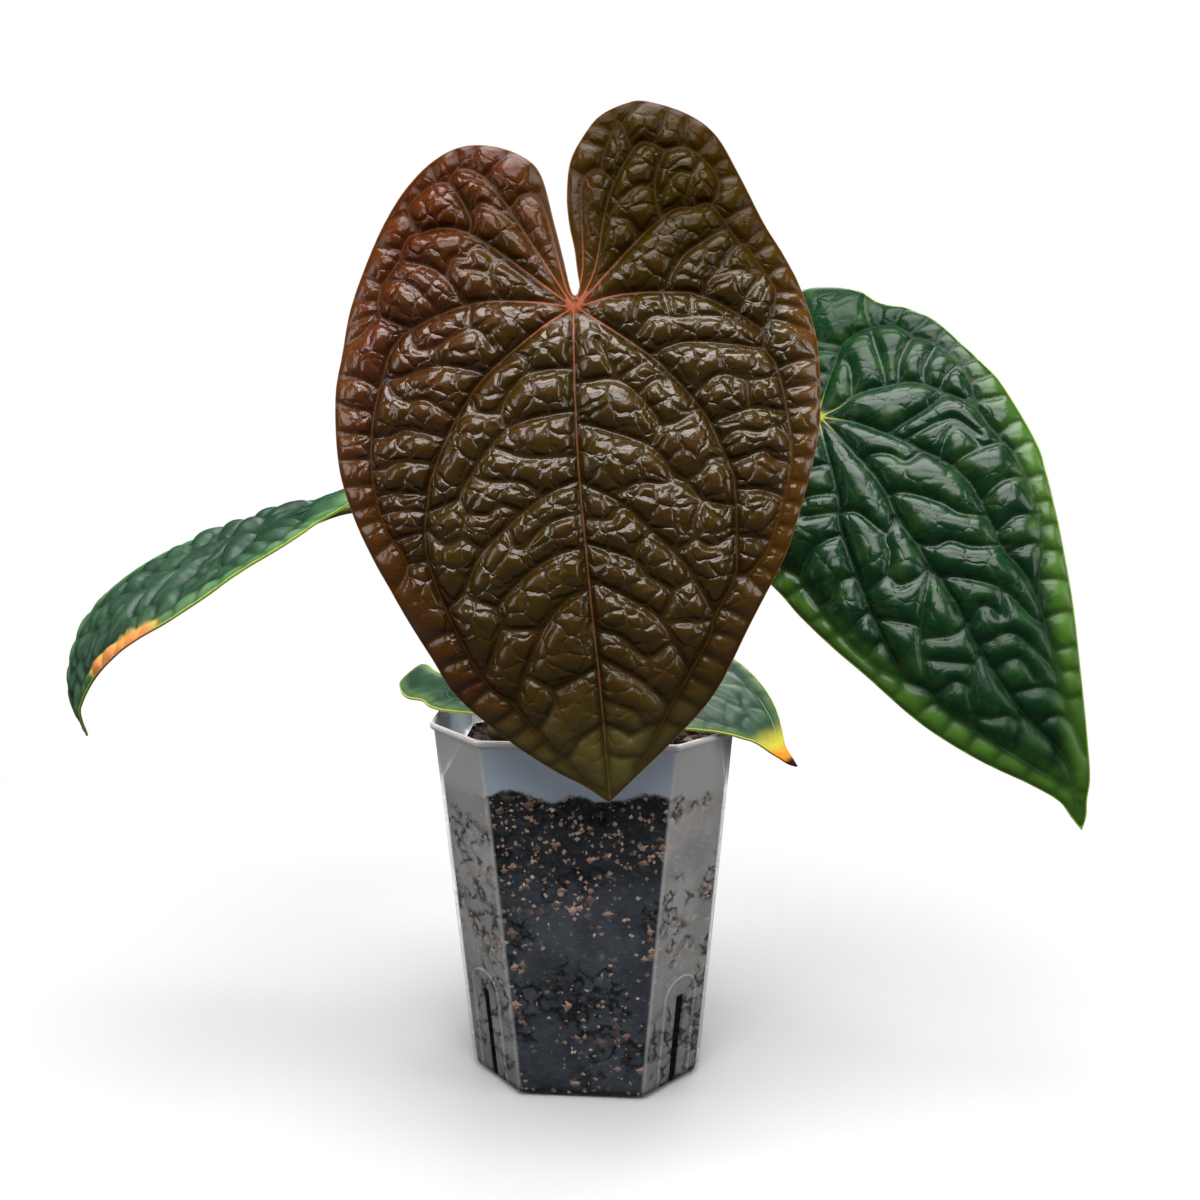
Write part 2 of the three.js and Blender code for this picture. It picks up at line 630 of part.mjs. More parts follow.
// The substrate: a filled block with an uneven top, and bark chips and stones sunk into it
function makeSoil() {
  const draw = drawFrom(5);
  const inset = wall + gap;
  const low = potRing(floorThick + gap, inset, 3);
  const high = potRing(soilLevel, inset, 3);
  const shrink = (ring, f) => ring.map(([x, y]) => {
    const mound = soilLevel + soilMound * (1 - f * f) + (draw() - 0.5) * 4;
    return [x * f, y * f, mound];
  });
  const rings = [low, high, ...[0.84, 0.62, 0.4, 0.18].map((f) => shrink(high, f))];
  let soil = solidOf(stackRings(rings));
  const chips = [];
  for (let i = 0; i < 35; i += 1) {
    const size = 5 + 7 * draw() ** 2;
    const chip = new THREE.BoxGeometry(size * 1.7, size, size * 0.6);
    const position = chip.attributes.position;
    const taper = 0.55 + 0.4 * draw();
    for (let k = 0; k < position.count; k += 1) {
      if (position.getX(k) > 0) position.setY(k, position.getY(k) * taper);
    }
    chip.rotateX((draw() - 0.5) * 1.1);
    chip.rotateY((draw() - 0.5) * 0.9);
    chip.rotateZ(draw() * Math.PI * 2);
    const reach = 50 * Math.sqrt(draw());
    const turn = draw() * Math.PI * 2;
    const x = reach * Math.cos(turn);
    const y = reach * Math.sin(turn);
    const f = reach / 56;
    chip.translate(x, y, soilLevel + soilMound * (1 - f * f) + size * 0.02);
    chips.push(solidOf(chip));
  }
  soil = soil.add(wasm.Manifold.union(chips));
  const within = stackRings([potRing(floorThick + gap, inset), potRing(soilLevel + 30, inset)]);
  soil = soil.intersect(solidOf(within));
  const hole = new THREE.CylinderGeometry(stemRadius + gap, stemRadius + gap, 80, 24);
  hole.rotateX(Math.PI / 2);
  hole.translate(stemAt[0], stemAt[1], stemFoot - gap + 40);
  soil = soil.subtract(solidOf(hole));
  for (const route of Object.values(rootRoutes)) {
    const deeper = [...route.slice(0, -1), route.at(-1).map((c, k) => (k === 2 ? c - gap : c))];
    soil = soil.subtract(solidOf(makeStalk(deeper, () => rootRadius + gap, 12)));
  }
  const parts = soil.decompose();
  return geometryOf(parts.reduce((best, part) => (part.volume() > best.volume() ? part : best)));
}

// Assembly: every piece is a mesh of its own with its own material
const plant = new THREE.Group();

function place(name, geometry, color, roughness) {
  const material = new THREE.MeshStandardMaterial({ color, roughness, metalness: 0, side: THREE.FrontSide });
  material.name = `${name}_material`;
  const mesh = new THREE.Mesh(geometry, material);
  mesh.name = name;
  plant.add(mesh);
}

place('pot', makePot(), 0xb9c0c4, 0.35);
place('soil', makeSoil(), 0x1f1a16, 0.95);
place('stem', makeStem(), 0x5b5a35, 0.7);
for (const [name, route] of Object.entries(rootRoutes)) {
  place(`root_${name}`, makeStalk(route, () => rootRadius, 12), 0x8a7a5c, 0.8);
}
const bladeColours = { bronze: 0x5a4326, right: 0x234a20, left: 0x21451f, small: 0x4d6648 };
for (const name of Object.keys(leaves)) {
  place(`petiole_${name}`, makePetiole(name), 0x6d7a3c, 0.5);
  place(`blade_${name}`, geometryOf(makeBlade(leaves[name])), bladeColours[name], 0.35);
}

export default plant;
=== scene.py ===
# Potted Anthurium luxurians: a large bronze young leaf hangs in front, with a green leaf at each side and a
# small one over the pot. The pot is a square translucent nursery pot with cut corners. The order is pot,
# substrate, stem and roots, leaves, petioles, studio.
import math

import bpy
import numpy as np
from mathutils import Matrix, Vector
from mathutils import noise as hills
from mathutils.geometry import delaunay_2d_cdt
from mathutils.kdtree import KDTree


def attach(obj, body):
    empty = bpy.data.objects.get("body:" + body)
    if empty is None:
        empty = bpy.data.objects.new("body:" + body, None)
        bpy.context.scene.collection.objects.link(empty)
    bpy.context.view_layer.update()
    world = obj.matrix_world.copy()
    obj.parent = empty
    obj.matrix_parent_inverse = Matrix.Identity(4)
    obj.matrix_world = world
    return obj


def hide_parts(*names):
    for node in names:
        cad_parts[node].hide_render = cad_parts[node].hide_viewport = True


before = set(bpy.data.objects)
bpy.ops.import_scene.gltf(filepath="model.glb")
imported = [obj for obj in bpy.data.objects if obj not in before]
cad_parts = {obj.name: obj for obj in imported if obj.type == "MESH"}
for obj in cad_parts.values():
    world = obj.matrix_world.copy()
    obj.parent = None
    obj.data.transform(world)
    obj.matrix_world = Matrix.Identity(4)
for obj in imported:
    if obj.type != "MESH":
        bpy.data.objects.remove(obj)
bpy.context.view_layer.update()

# Nursery pot: one thin shell of frosted polypropylene, square with cut corners and a rolled rim. Each cut
# corner has a drain slit under an embossed arch. The wall clears where the wet substrate touches it.
POT_HIGH = 0.153
POT_HALF = (0.047, 0.058)
POT_CUT = (0.022, 0.021)
POT_WALL = 0.0009
POT_FLOOR = 0.0014
SLIT_WIDE = 0.0044
SLIT_SPAN = (0.002, 0.043)
ARCH_HALF = 0.0083
ARCH_PROUD = 0.0005
RIM_LOW = POT_HIGH - 0.0026


def pot_ring(z, inset, corner=0.0016, steps=4):
    """The pot's plan at a height, with each of its eight corners rounded."""
    t = z / POT_HIGH
    half = POT_HALF[0] + (POT_HALF[1] - POT_HALF[0]) * t - inset
    cut = POT_CUT[0] + (POT_CUT[1] - POT_CUT[0]) * t - inset * (2 - math.sqrt(2))
    corners = []
    for quarter in range(4):
        c, s = math.cos(quarter * math.pi / 2), math.sin(quarter * math.pi / 2)
        for x, y in ((half, cut - half), (half, half - cut)):
            corners.append(Vector((x * c - y * s, x * s + y * c)))
    ring = []
    for i, at in enumerate(corners):
        before = (corners[i - 1] - at).normalized() * corner
        after = (corners[(i + 1) % 8] - at).normalized() * corner
        for k in range(steps + 1):
            f = k / steps
            p = at + before * (1 - f) ** 2 + after * f**2
            ring.append((p.x, p.y, z))
    return ring


def skin(rings, close_ends=False):
    """Faces through rings of equal count, the last ring joined to the first unless the ends are closed."""
    count = len(rings[0])
    faces = []
    spans = len(rings) - 1 if close_ends else len(rings)
    for level in range(spans):
        low, high = level * count, (level + 1) % len(rings) * count
        for i in range(count):
            j = (i + 1) % count
            faces.append((low + i, low + j, high + j, high + i))
    if close_ends:
        faces.append(tuple(range(count))[::-1])
        faces.append(tuple(range((len(rings) - 1) * count, len(rings) * count)))
    return [p for ring in rings for p in ring], faces


def new_object(name, data):
    made = bpy.data.objects.new(name, data)
    bpy.context.scene.collection.objects.link(made)
    return made


def smooth(mesh, sharp_angle):
    mesh.shade_smooth()
    mesh.set_sharp_from_angle(angle=math.radians(sharp_angle))


def new_piece(name, points, faces, sharp_angle=None):
    mesh = bpy.data.meshes.new(name)
    mesh.from_pydata([tuple(p) for p in points], [], faces)
    mesh.validate()
    if sharp_angle is not None:
        smooth(mesh, sharp_angle)
    return new_object(name, mesh)


def finished_mesh(piece):
    """The piece as a plain mesh, with its modifiers applied."""
    bpy.context.view_layer.update()
    made = piece.evaluated_get(bpy.context.evaluated_depsgraph_get())
    return bpy.data.meshes.new_from_object(made)


def settle(piece):
    """Applies every modifier of a piece, so that only its mesh is left."""
    mesh = finished_mesh(piece)
    piece.modifiers.clear()
    piece.data = mesh
    return piece


def put(tree, kind, inputs=None, **settings):
    """Adds a node, sets its properties and fills its inputs with values or with other nodes' outputs."""
    made = tree.nodes.new(kind)
    for key, value in settings.items():
        setattr(made, key, value)
    for key, value in (inputs or {}).items():
        if isinstance(value, bpy.types.NodeSocket):
            tree.links.new(value, made.inputs[key])
        else:
            made.inputs[key].default_value = value
    return made


def maths(tree, how, *values, clamp=False):
    return put(tree, "ShaderNodeMath", dict(enumerate(values)), operation=how, use_clamp=clamp).outputs[0]


def times(tree, *values):
    return maths(tree, "MULTIPLY", *values)


def spread(tree, value, start, end, low=0.0, high=1.0, soft=True):
    """Value between start and end, turned to low to high and held there."""
    kind = "SMOOTHSTEP" if soft else "LINEAR"
    inputs = {"Value": value, "From Min": start, "From Max": end, "To Min": low, "To Max": high}
    return put(tree, "ShaderNodeMapRange", inputs, interpolation_type=kind).outputs["Result"]


def blend(tree, factor, first, second):
    """Mixes two colours, or two values taken as greys."""
    return put(tree, "ShaderNodeMix", {0: factor, 6: first, 7: second}, data_type="RGBA").outputs[2]


def rgb(*screen):
    """A colour from the screen's 0 to 255, as the linear light that the nodes take."""
    return tuple(c / 255 / 12.92 if c <= 10 else ((c / 255 + 0.055) / 1.055) ** 2.4 for c in screen) + (1,)


def new_material(name):
    material = bpy.data.materials.new(name)
    material.use_nodes = True
    tree = material.node_tree
    shader = tree.nodes["Principled BSDF"]
    return material, tree, shader


def noise(tree, place, scale, detail):
    inputs = {"Vector": place, "Scale": scale, "Detail": detail, "Roughness": 0.55}
    return put(tree, "ShaderNodeTexNoise", inputs).outputs[0]


def axis_of(tree, vector, axis):
    return put(tree, "ShaderNodeSeparateXYZ", {0: vector}).outputs[axis]


def corner_facing(tree):
    """Nought on the pot's four broad sides, a half on its cut corners."""
    facing = put(tree, "ShaderNodeTexCoord").outputs["Normal"]
    return maths(tree, "ABSOLUTE", times(tree, axis_of(tree, facing, "X"), axis_of(tree, facing, "Y")))


def at_corner(corner, reach, side, z):
    """A point so far from the pot's middle towards one cut corner, and so far sideways along that corner."""
    turn = math.pi / 4 + corner * math.pi / 2
    return (reach * math.cos(turn) - side * math.sin(turn), reach * math.sin(turn) + side * math.cos(turn), z)


# The wall's section, as heights and insets: under the floor, up the outside, over the rim, down the inside.
section = [(0.0009, 0.010), (0.0004, 0.006), (0.0, 0.002), (0.0006, 0.0006), (0.0022, 0.0)]
section += [(z, 0.0) for z in np.linspace(0.02, RIM_LOW - 0.0008, 5)]
section += [(RIM_LOW, -0.0006), (RIM_LOW + 0.0006, -0.0013), (POT_HIGH - 0.0007, -0.0014)]
section += [(POT_HIGH, -0.0009), (POT_HIGH, 0.0001), (POT_HIGH - 0.0006, 0.0006), (RIM_LOW - 0.001, POT_WALL)]
section += [(z, POT_WALL) for z in np.linspace(RIM_LOW - 0.02, 0.004, 5)]
section += [(POT_FLOOR, POT_WALL + 0.0012), (POT_FLOOR, 0.010)]
pot = new_piece("pot_shell", *skin([pot_ring(z, inset) for z, inset in section], close_ends=True))
# The slits are cut through the corner walls, and each arch is a rib that stands half proud of the wall.
foot_reach = (2 * POT_HALF[0] - POT_CUT[0]) / math.sqrt(2)
lean = math.atan2((2 * POT_HALF[1] - POT_CUT[1]) / math.sqrt(2) - foot_reach, POT_HIGH)
through = 0.010
quads = ((3, 2, 1, 0), (4, 5, 6, 7), (0, 1, 5, 4), (1, 2, 6, 5), (2, 3, 7, 6), (3, 0, 4, 7))
slit_points, slit_faces = [], []
for corner in range(4):
    slit_faces += [tuple(len(slit_points) + k for k in quad) for quad in quads]
    for z in SLIT_SPAN:
        for x, y in ((-1, -1), (1, -1), (1, 1), (-1, 1)):
            slit_points.append(at_corner(corner, foot_reach + x * through, y * SLIT_WIDE / 2, z))
slits = new_piece("slit_cutter", slit_points, slit_faces)
cut = pot.modifiers.new("slits", "BOOLEAN")
cut.operation, cut.object, cut.solver = "DIFFERENCE", slits, "EXACT"
settle(pot)
bpy.data.objects.remove(slits)


def strand_tree():
    """Geometry Nodes: a round strand along a course whose points carry their own radius."""
    tree = bpy.data.node_groups.new("strand along its course", "GeometryNodeTree")
    tree.interface.new_socket("Course", in_out="INPUT", socket_type="NodeSocketGeometry")
    tree.interface.new_socket("Sides", in_out="INPUT", socket_type="NodeSocketInt")
    tree.interface.new_socket("Material", in_out="INPUT", socket_type="NodeSocketMaterial")
    tree.interface.new_socket("Strand", in_out="OUTPUT", socket_type="NodeSocketGeometry")
    given = put(tree, "NodeGroupInput")
    circle = put(tree, "GeometryNodeCurvePrimitiveCircle", {"Resolution": given.outputs["Sides"],
                                                            "Radius": 1.0})
    radius = put(tree, "GeometryNodeInputRadius")
    sweep = put(tree, "GeometryNodeCurveToMesh", {"Curve": given.outputs["Course"], "Fill Caps": True,
                                                  "Profile Curve": circle.outputs["Curve"],
                                                  "Scale": radius.outputs["Radius"]})
    whole = put(tree, "GeometryNodeRealizeInstances", {"Geometry": sweep.outputs["Mesh"]})
    painted = put(tree, "GeometryNodeSetMaterial", {"Geometry": whole.outputs["Geometry"],
                                                    "Material": given.outputs["Material"]})
    put(tree, "NodeGroupOutput", {"Strand": painted.outputs["Geometry"]})
    return tree


STRAND = strand_tree()


def socket_of(tree, name):
    return next(s.identifier for s in tree.interface.items_tree if s.name == name and s.in_out == "INPUT")


def strands(name, courses, material, sides=12):
    """One piece from courses of (points in metres, radius of each point)."""
    curve = bpy.data.curves.new(name, "CURVE")
    curve.dimensions = "3D"
    for points, radii in courses:
        spline = curve.splines.new("POLY")
        spline.points.add(len(points) - 1)
        for spot, at, radius in zip(spline.points, points, radii):
            spot.co = (*at, 1)
            spot.radius = radius
    piece = new_object(name, curve)
    sweep = piece.modifiers.new("strand", "NODES")
    sweep.node_group = STRAND
    sweep[socket_of(STRAND, "Sides")] = sides
    sweep[socket_of(STRAND, "Material")] = material
    mesh = finished_mesh(piece)
    bpy.data.objects.remove(piece)
    smooth(mesh, 60)
    return new_object(name, mesh)


plastic, tree, shader = new_material("frosted polypropylene")
place = put(tree, "ShaderNodeTexCoord").outputs["Object"]
height = axis_of(tree, place, "Z")
across = corner_facing(tree)
cut_corner = spread(tree, across, 0.15, 0.42)
corner_highlight = times(tree, spread(tree, across, 0.06, 0.2), spread(tree, across, 0.45, 0.3))
rim = spread(tree, height, 0.1495, 0.1508)
cloud = noise(tree, place, 55.0, 5.0)
ragged = maths(tree, "ADD", height, times(tree, cloud, 0.02))
above_soil = spread(tree, ragged, 0.1395, 0.1415)
# Haze is how milky the wall is: a thin film on the broad sides, thicker on the cut corners, none where bark
# touches, and more on the bare band above the substrate and at the rim; it thins out towards the foot. The
# cut corners' extra haze is partly painted reflection of the white surround, the band's extra haze is partly
# painted light that lifts the bronze leaf's shadow, and a painted highlight runs along each corner line.
film = times(tree, spread(tree, ragged, 0.116, 0.092, 0.018, 0.056), spread(tree, cloud, 0.3, 0.7, 0.6, 1.3))
# The cut corners' thicker haze is partly painted reflection of the white surround.
corner_film = spread(tree, height, 0.0, 0.15, 0.25, 0.34)
corner_film = times(tree, corner_film, spread(tree, cloud, 0.3, 0.7, 0.75, 1.2))
haze = blend(tree, cut_corner, film, corner_film)
bend = noise(tree, place, 120.0, 2.0)
touching = spread(tree, maths(tree, "ABSOLUTE", maths(tree, "SUBTRACT", bend, 0.5)), 0.06, 0.03)
patches = spread(tree, noise(tree, place, 34.0, 2.0), 0.45, 0.52, 0.0, 0.85)
touching = times(tree, touching, patches)
haze = times(tree, haze, maths(tree, "SUBTRACT", 1.0, touching))
# Above the substrate the haze is partly the bare wall's real milkiness and partly painted light lifting the
# bronze leaf's shadow.
bare_haze_and_lift = blend(tree, cut_corner, spread(tree, height, 0.127, 0.150, 0.42, 1.0, soft=False),
             spread(tree, height, 0.127, 0.150, 0.42, 0.8, soft=False))
haze = blend(tree, above_soil, haze, bare_haze_and_lift)
# Painted highlight: more white haze along each corner line.
haze = maths(tree, "ADD", haze, times(tree, corner_highlight, 0.24))
haze = times(tree, haze, spread(tree, height, 0.0005, 0.007, 0.15, 1.0))
haze = maths(tree, "ADD", haze, times(tree, rim, 0.35), clamp=True)
glow = put(tree, "ShaderNodeLayerWeight", {"Blend": 0.25}).outputs["Facing"]
haze = maths(tree, "ADD", haze, times(tree, maths(tree, "POWER", glow, 3.0), 0.5), clamp=True)
tree.links.new(haze, shader.inputs["Alpha"])
# The cut corners, corner lines and rim take a paler grey: a painted highlight on the corner lines, partly a
# painted reflection on the cut corners.
tint = maths(tree, "MAXIMUM", maths(tree, "MAXIMUM", cut_corner, corner_highlight), rim)
# The lighter wall tint above the substrate is painted light that lifts the bronze leaf's shadow.
wall_tint = blend(tree, above_soil, rgb(184, 199, 215), rgb(208, 224, 240))
tree.links.new(blend(tree, tint, wall_tint, rgb(218, 216, 214)), shader.inputs["Base Color"])
shader.inputs["IOR"].default_value = 1.49
grain = noise(tree, place, 900.0, 3.0)
tree.links.new(spread(tree, cloud, 0.3, 0.7, 0.32, 0.5), shader.inputs["Roughness"])
bump = put(tree, "ShaderNodeBump", {"Height": grain, "Strength": 0.06, "Distance": 0.0004})
tree.links.new(bump.outputs[0], shader.inputs["Normal"])

arches = []
for corner in range(4):
    bow = [(-ARCH_HALF, z) for z in np.linspace(0.002, SLIT_SPAN[1], 8)]
    for a in np.linspace(0.2, 2.94, 12):
        bow.append((-ARCH_HALF * math.cos(a), SLIT_SPAN[1] + ARCH_HALF * math.sin(a)))
    bow += [(ARCH_HALF, z) for z in np.linspace(SLIT_SPAN[1], 0.002, 8)]
    course = [at_corner(corner, foot_reach + z * math.tan(lean) - 0.0001, side, z) for side, z in bow]
    arches.append((course, [ARCH_PROUD] * len(course)))
arch_piece = strands("pot_arches", arches, plastic, sides=8)
pot.data.materials.append(plastic)
smooth(pot.data, 42)
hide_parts("pot")
for piece in (pot, arch_piece):
    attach(piece, "root")


# Substrate: black bark mix pressed against the wall, its top a loose mound of bark chips and a few pale
# crumbs of perlite. It fills the pot to about two centimetres below the rim and holds the stem in a well.
SOIL_LEVEL = 0.130
SOIL_MOUND = 0.0055
STEM_AT = Vector((-0.033, 0.006))
STEM_RADIUS = 0.011
SOIL_GAP = 0.0004
MOUND_STEP = 0.0013
WELL_FLOOR = 0.1035


def smooth_line(points, per=20):
    """Catmull-Rom line through the points, as dense points."""
    p = np.array(points, float)
    q = np.vstack([2 * p[0] - p[1], p, 2 * p[-1] - p[-2]])
    t = np.linspace(0, 1, per, endpoint=False)[:, None]
    runs = []
    for a, b, c, d in zip(q[:-3], q[1:-2], q[2:-1], q[3:]):
        bend, twist = 2 * a - 5 * b + 4 * c - d, 3 * b - a - 3 * c + d
        runs.append(0.5 * (2 * b + (c - a) * t + bend * t**2 + twist * t**3))
    return np.vstack(runs + [p[-1:]])


def along(line):
    """Each point's distance along the line."""
    return np.concatenate([[0], np.cumsum(np.linalg.norm(np.diff(line, axis=0), axis=1))])


def evenly(points, spacing):
    """The smooth line through the points, as points a spacing apart."""
    line = smooth_line(points)
    run = along(line)
    at = np.linspace(0, run[-1], max(1, round(run[-1] / spacing)) + 1)
    return np.stack([np.interp(at, run, line[:, k]) for k in range(line.shape[1])], axis=1)


def inside_outline(p, ring):
    """Says of each flat point whether it lies inside a closed ring."""
    inside = np.zeros(len(p), bool)
    for (ax, ay), (bx, by) in zip(ring, np.roll(ring, -1, axis=0)):
        if ay == by:
            continue
        crosses = (ay > p[:, 1]) != (by > p[:, 1])
        inside ^= crosses & (p[:, 0] < (bx - ax) * (p[:, 1] - ay) / (by - ay) + ax)
    return inside


def soil_height(x, y):
    f = min(1, math.hypot(x, y) / 0.056)
    rough = hills.noise(Vector((x, y, 0)) * 140) * 0.0016 + hills.noise(Vector((x, y, 3)) * 420) * 0.0007
    return SOIL_LEVEL + SOIL_MOUND * (1 - f * f) + rough


side_levels = (POT_FLOOR + 0.0004, 0.02, 0.05, 0.08, 0.11)
soil_rings = [pot_ring(z, POT_WALL + SOIL_GAP, steps=3) for z in side_levels]
top_ring = [(x, y, soil_height(x, y)) for x, y, _ in pot_ring(SOIL_LEVEL, POT_WALL + SOIL_GAP, steps=3)]
soil_points, soil_faces = skin(soil_rings + [top_ring], close_ends=True)
soil_faces.pop()
border = [Vector(p[:2]) for p in top_ring]
stem_turns = np.linspace(0, 2 * math.pi, 33)[:-1]
stem_ring = [STEM_AT + Vector((math.cos(a), math.sin(a))) * STEM_RADIUS for a in stem_turns]
span = np.arange(-POT_HALF[1], POT_HALF[1], MOUND_STEP)
fill = np.array([(x, y) for x in span for y in span])
fill = fill[inside_outline(fill, np.array([tuple(p) for p in border]) * 0.985)]
fill = fill[np.hypot(fill[:, 0] - STEM_AT.x, fill[:, 1] - STEM_AT.y) > STEM_RADIUS + 0.0006]
loops = [(i, (i + 1) % len(border)) for i in range(len(border))]
flat, _, top_faces, *_ = delaunay_2d_cdt(border + stem_ring + [Vector(p) for p in fill], loops, [], 1, 1e-7)
first = len(soil_points) - len(border)
soil_points += [(x, y, soil_height(x, y)) for x, y in flat[len(border):]]
well = range(len(border), len(border) + len(stem_ring))
soil_faces += [tuple(first + i for i in face) for face in top_faces if not all(i in well for i in face)]
well_rim = [first + i for i in well]
well_foot = [len(soil_points) + k for k in range(len(well))]
soil_points += [(*soil_points[i][:2], WELL_FLOOR) for i in well_rim]
for k in range(len(well)):
    n = (k + 1) % len(well)
    soil_faces.append((well_rim[k], well_rim[n], well_foot[n], well_foot[k]))
soil_faces.append(tuple(well_foot))
soil = new_piece("substrate_body", soil_points, soil_faces, 50)


def warped(tree, place, scale, detail, amount):
    """The place, shifted by a noise, so that what is read from it bends."""
    wave = put(tree, "ShaderNodeTexNoise", {"Vector": place, "Scale": scale, "Detail": detail})
    shift = put(tree, "ShaderNodeVectorMath", {0: wave.outputs["Color"], "Scale": amount}, operation="SCALE")
    return put(tree, "ShaderNodeVectorMath", {0: place, 1: shift.outputs[0]}, operation="ADD").outputs[0]


def coat(tree, shader, colour, roughness, height, strength, depth):
    """Gives a surface its colour, one roughness and a fine relief."""
    tree.links.new(colour, shader.inputs["Base Color"])
    shader.inputs["Roughness"].default_value = roughness
    bump = put(tree, "ShaderNodeBump", {"Height": height, "Strength": strength, "Distance": depth})
    tree.links.new(bump.outputs[0], shader.inputs["Normal"])


bark, tree, shader = new_material("wet bark mix")
place = put(tree, "ShaderNodeTexCoord").outputs["Object"]
bent = warped(tree, place, 160.0, 3.0, 0.004)
lumps = put(tree, "ShaderNodeTexVoronoi", {"Vector": bent, "Scale": 300.0}, distance="MANHATTAN")
lump = put(tree, "ShaderNodeSeparateColor", {0: lumps.outputs["Color"]})
crumbs = put(tree, "ShaderNodeTexVoronoi", {"Vector": bent, "Scale": 640.0}, distance="MANHATTAN")
crumb = put(tree, "ShaderNodeSeparateColor", {0: crumbs.outputs["Color"]})
patch = noise(tree, place, 38.0, 3.0)
black = spread(tree, noise(tree, bent, 300.0, 4.0), 0.4, 0.7)
colour = blend(tree, black, rgb(12, 12, 13), rgb(36, 34, 37))
deep = axis_of(tree, place, "Z")
# More lumps are brown half-way up. Behind the drain slits the substrate is painted near black as shade, with
# nothing pale or brown there.
middle = times(tree, spread(tree, deep, 0.055, 0.08), spread(tree, deep, 0.108, 0.095, 0.0, 0.14))
brown = spread(tree, maths(tree, "ADD", lump.outputs[0], middle), 0.82, 0.84)
brown = times(tree, brown, spread(tree, patch, 0.42, 0.54))
brown = times(tree, brown, spread(tree, lumps.outputs["Distance"], 0.8, 0.7))
often = maths(tree, "ADD", crumb.outputs[0], spread(tree, deep, 0.08, 0.11, -0.04, 0.10))
pale = times(tree, spread(tree, often, 0.87, 0.88), spread(tree, patch, 0.3, 0.46))
slit_shade = times(tree, spread(tree, corner_facing(tree), 0.2, 0.4), spread(tree, deep, 0.05, 0.044, 0.0, 0.85))
outside_slit_shade = maths(tree, "SUBTRACT", 1.0, slit_shade)
pale = times(tree, pale, outside_slit_shade)
brown = times(tree, brown, outside_slit_shade)
colour = blend(tree, brown, colour, blend(tree, lump.outputs[1], rgb(84, 58, 44), rgb(196, 152, 122)))
near = spread(tree, crumbs.outputs["Distance"], 0.85, 0.7)
colour = blend(tree, times(tree, pale, near), colour,
               blend(tree, crumb.outputs[1], rgb(110, 80, 62), rgb(206, 178, 156)))
# Painted shade: near black behind the drain slits.
colour = blend(tree, slit_shade, colour, rgb(5, 4, 4))
shader.inputs["Specular IOR Level"].default_value = 0.15
lift = maths(tree, "SUBTRACT", noise(tree, bent, 260.0, 5.0), lumps.outputs["Distance"])
coat(tree, shader, colour, 0.8, lift, 0.7, 0.0016)
soil.data.materials.append(bark)

chip_bark, tree, shader = new_material("bark chip")
place = put(tree, "ShaderNodeTexCoord").outputs["Object"]
shade = put(tree, "ShaderNodeAttribute", attribute_name="shade").outputs["Fac"]
grain = noise(tree, place, 900.0, 5.0)
dark = blend(tree, spread(tree, shade, 0.0, 0.7, soft=False), rgb(24, 19, 16), rgb(74, 50, 34))
light = blend(tree, spread(tree, shade, 0.93, 0.95), rgb(120, 80, 52), rgb(205, 190, 172))
colour = blend(tree, spread(tree, shade, 0.78, 0.84), dark, light)
colour = blend(tree, spread(tree, grain, 0.35, 0.75), colour, blend(tree, 0.55, colour, rgb(16, 12, 10)))
coat(tree, shader, colour, 0.75, grain, 0.6, 0.0008)


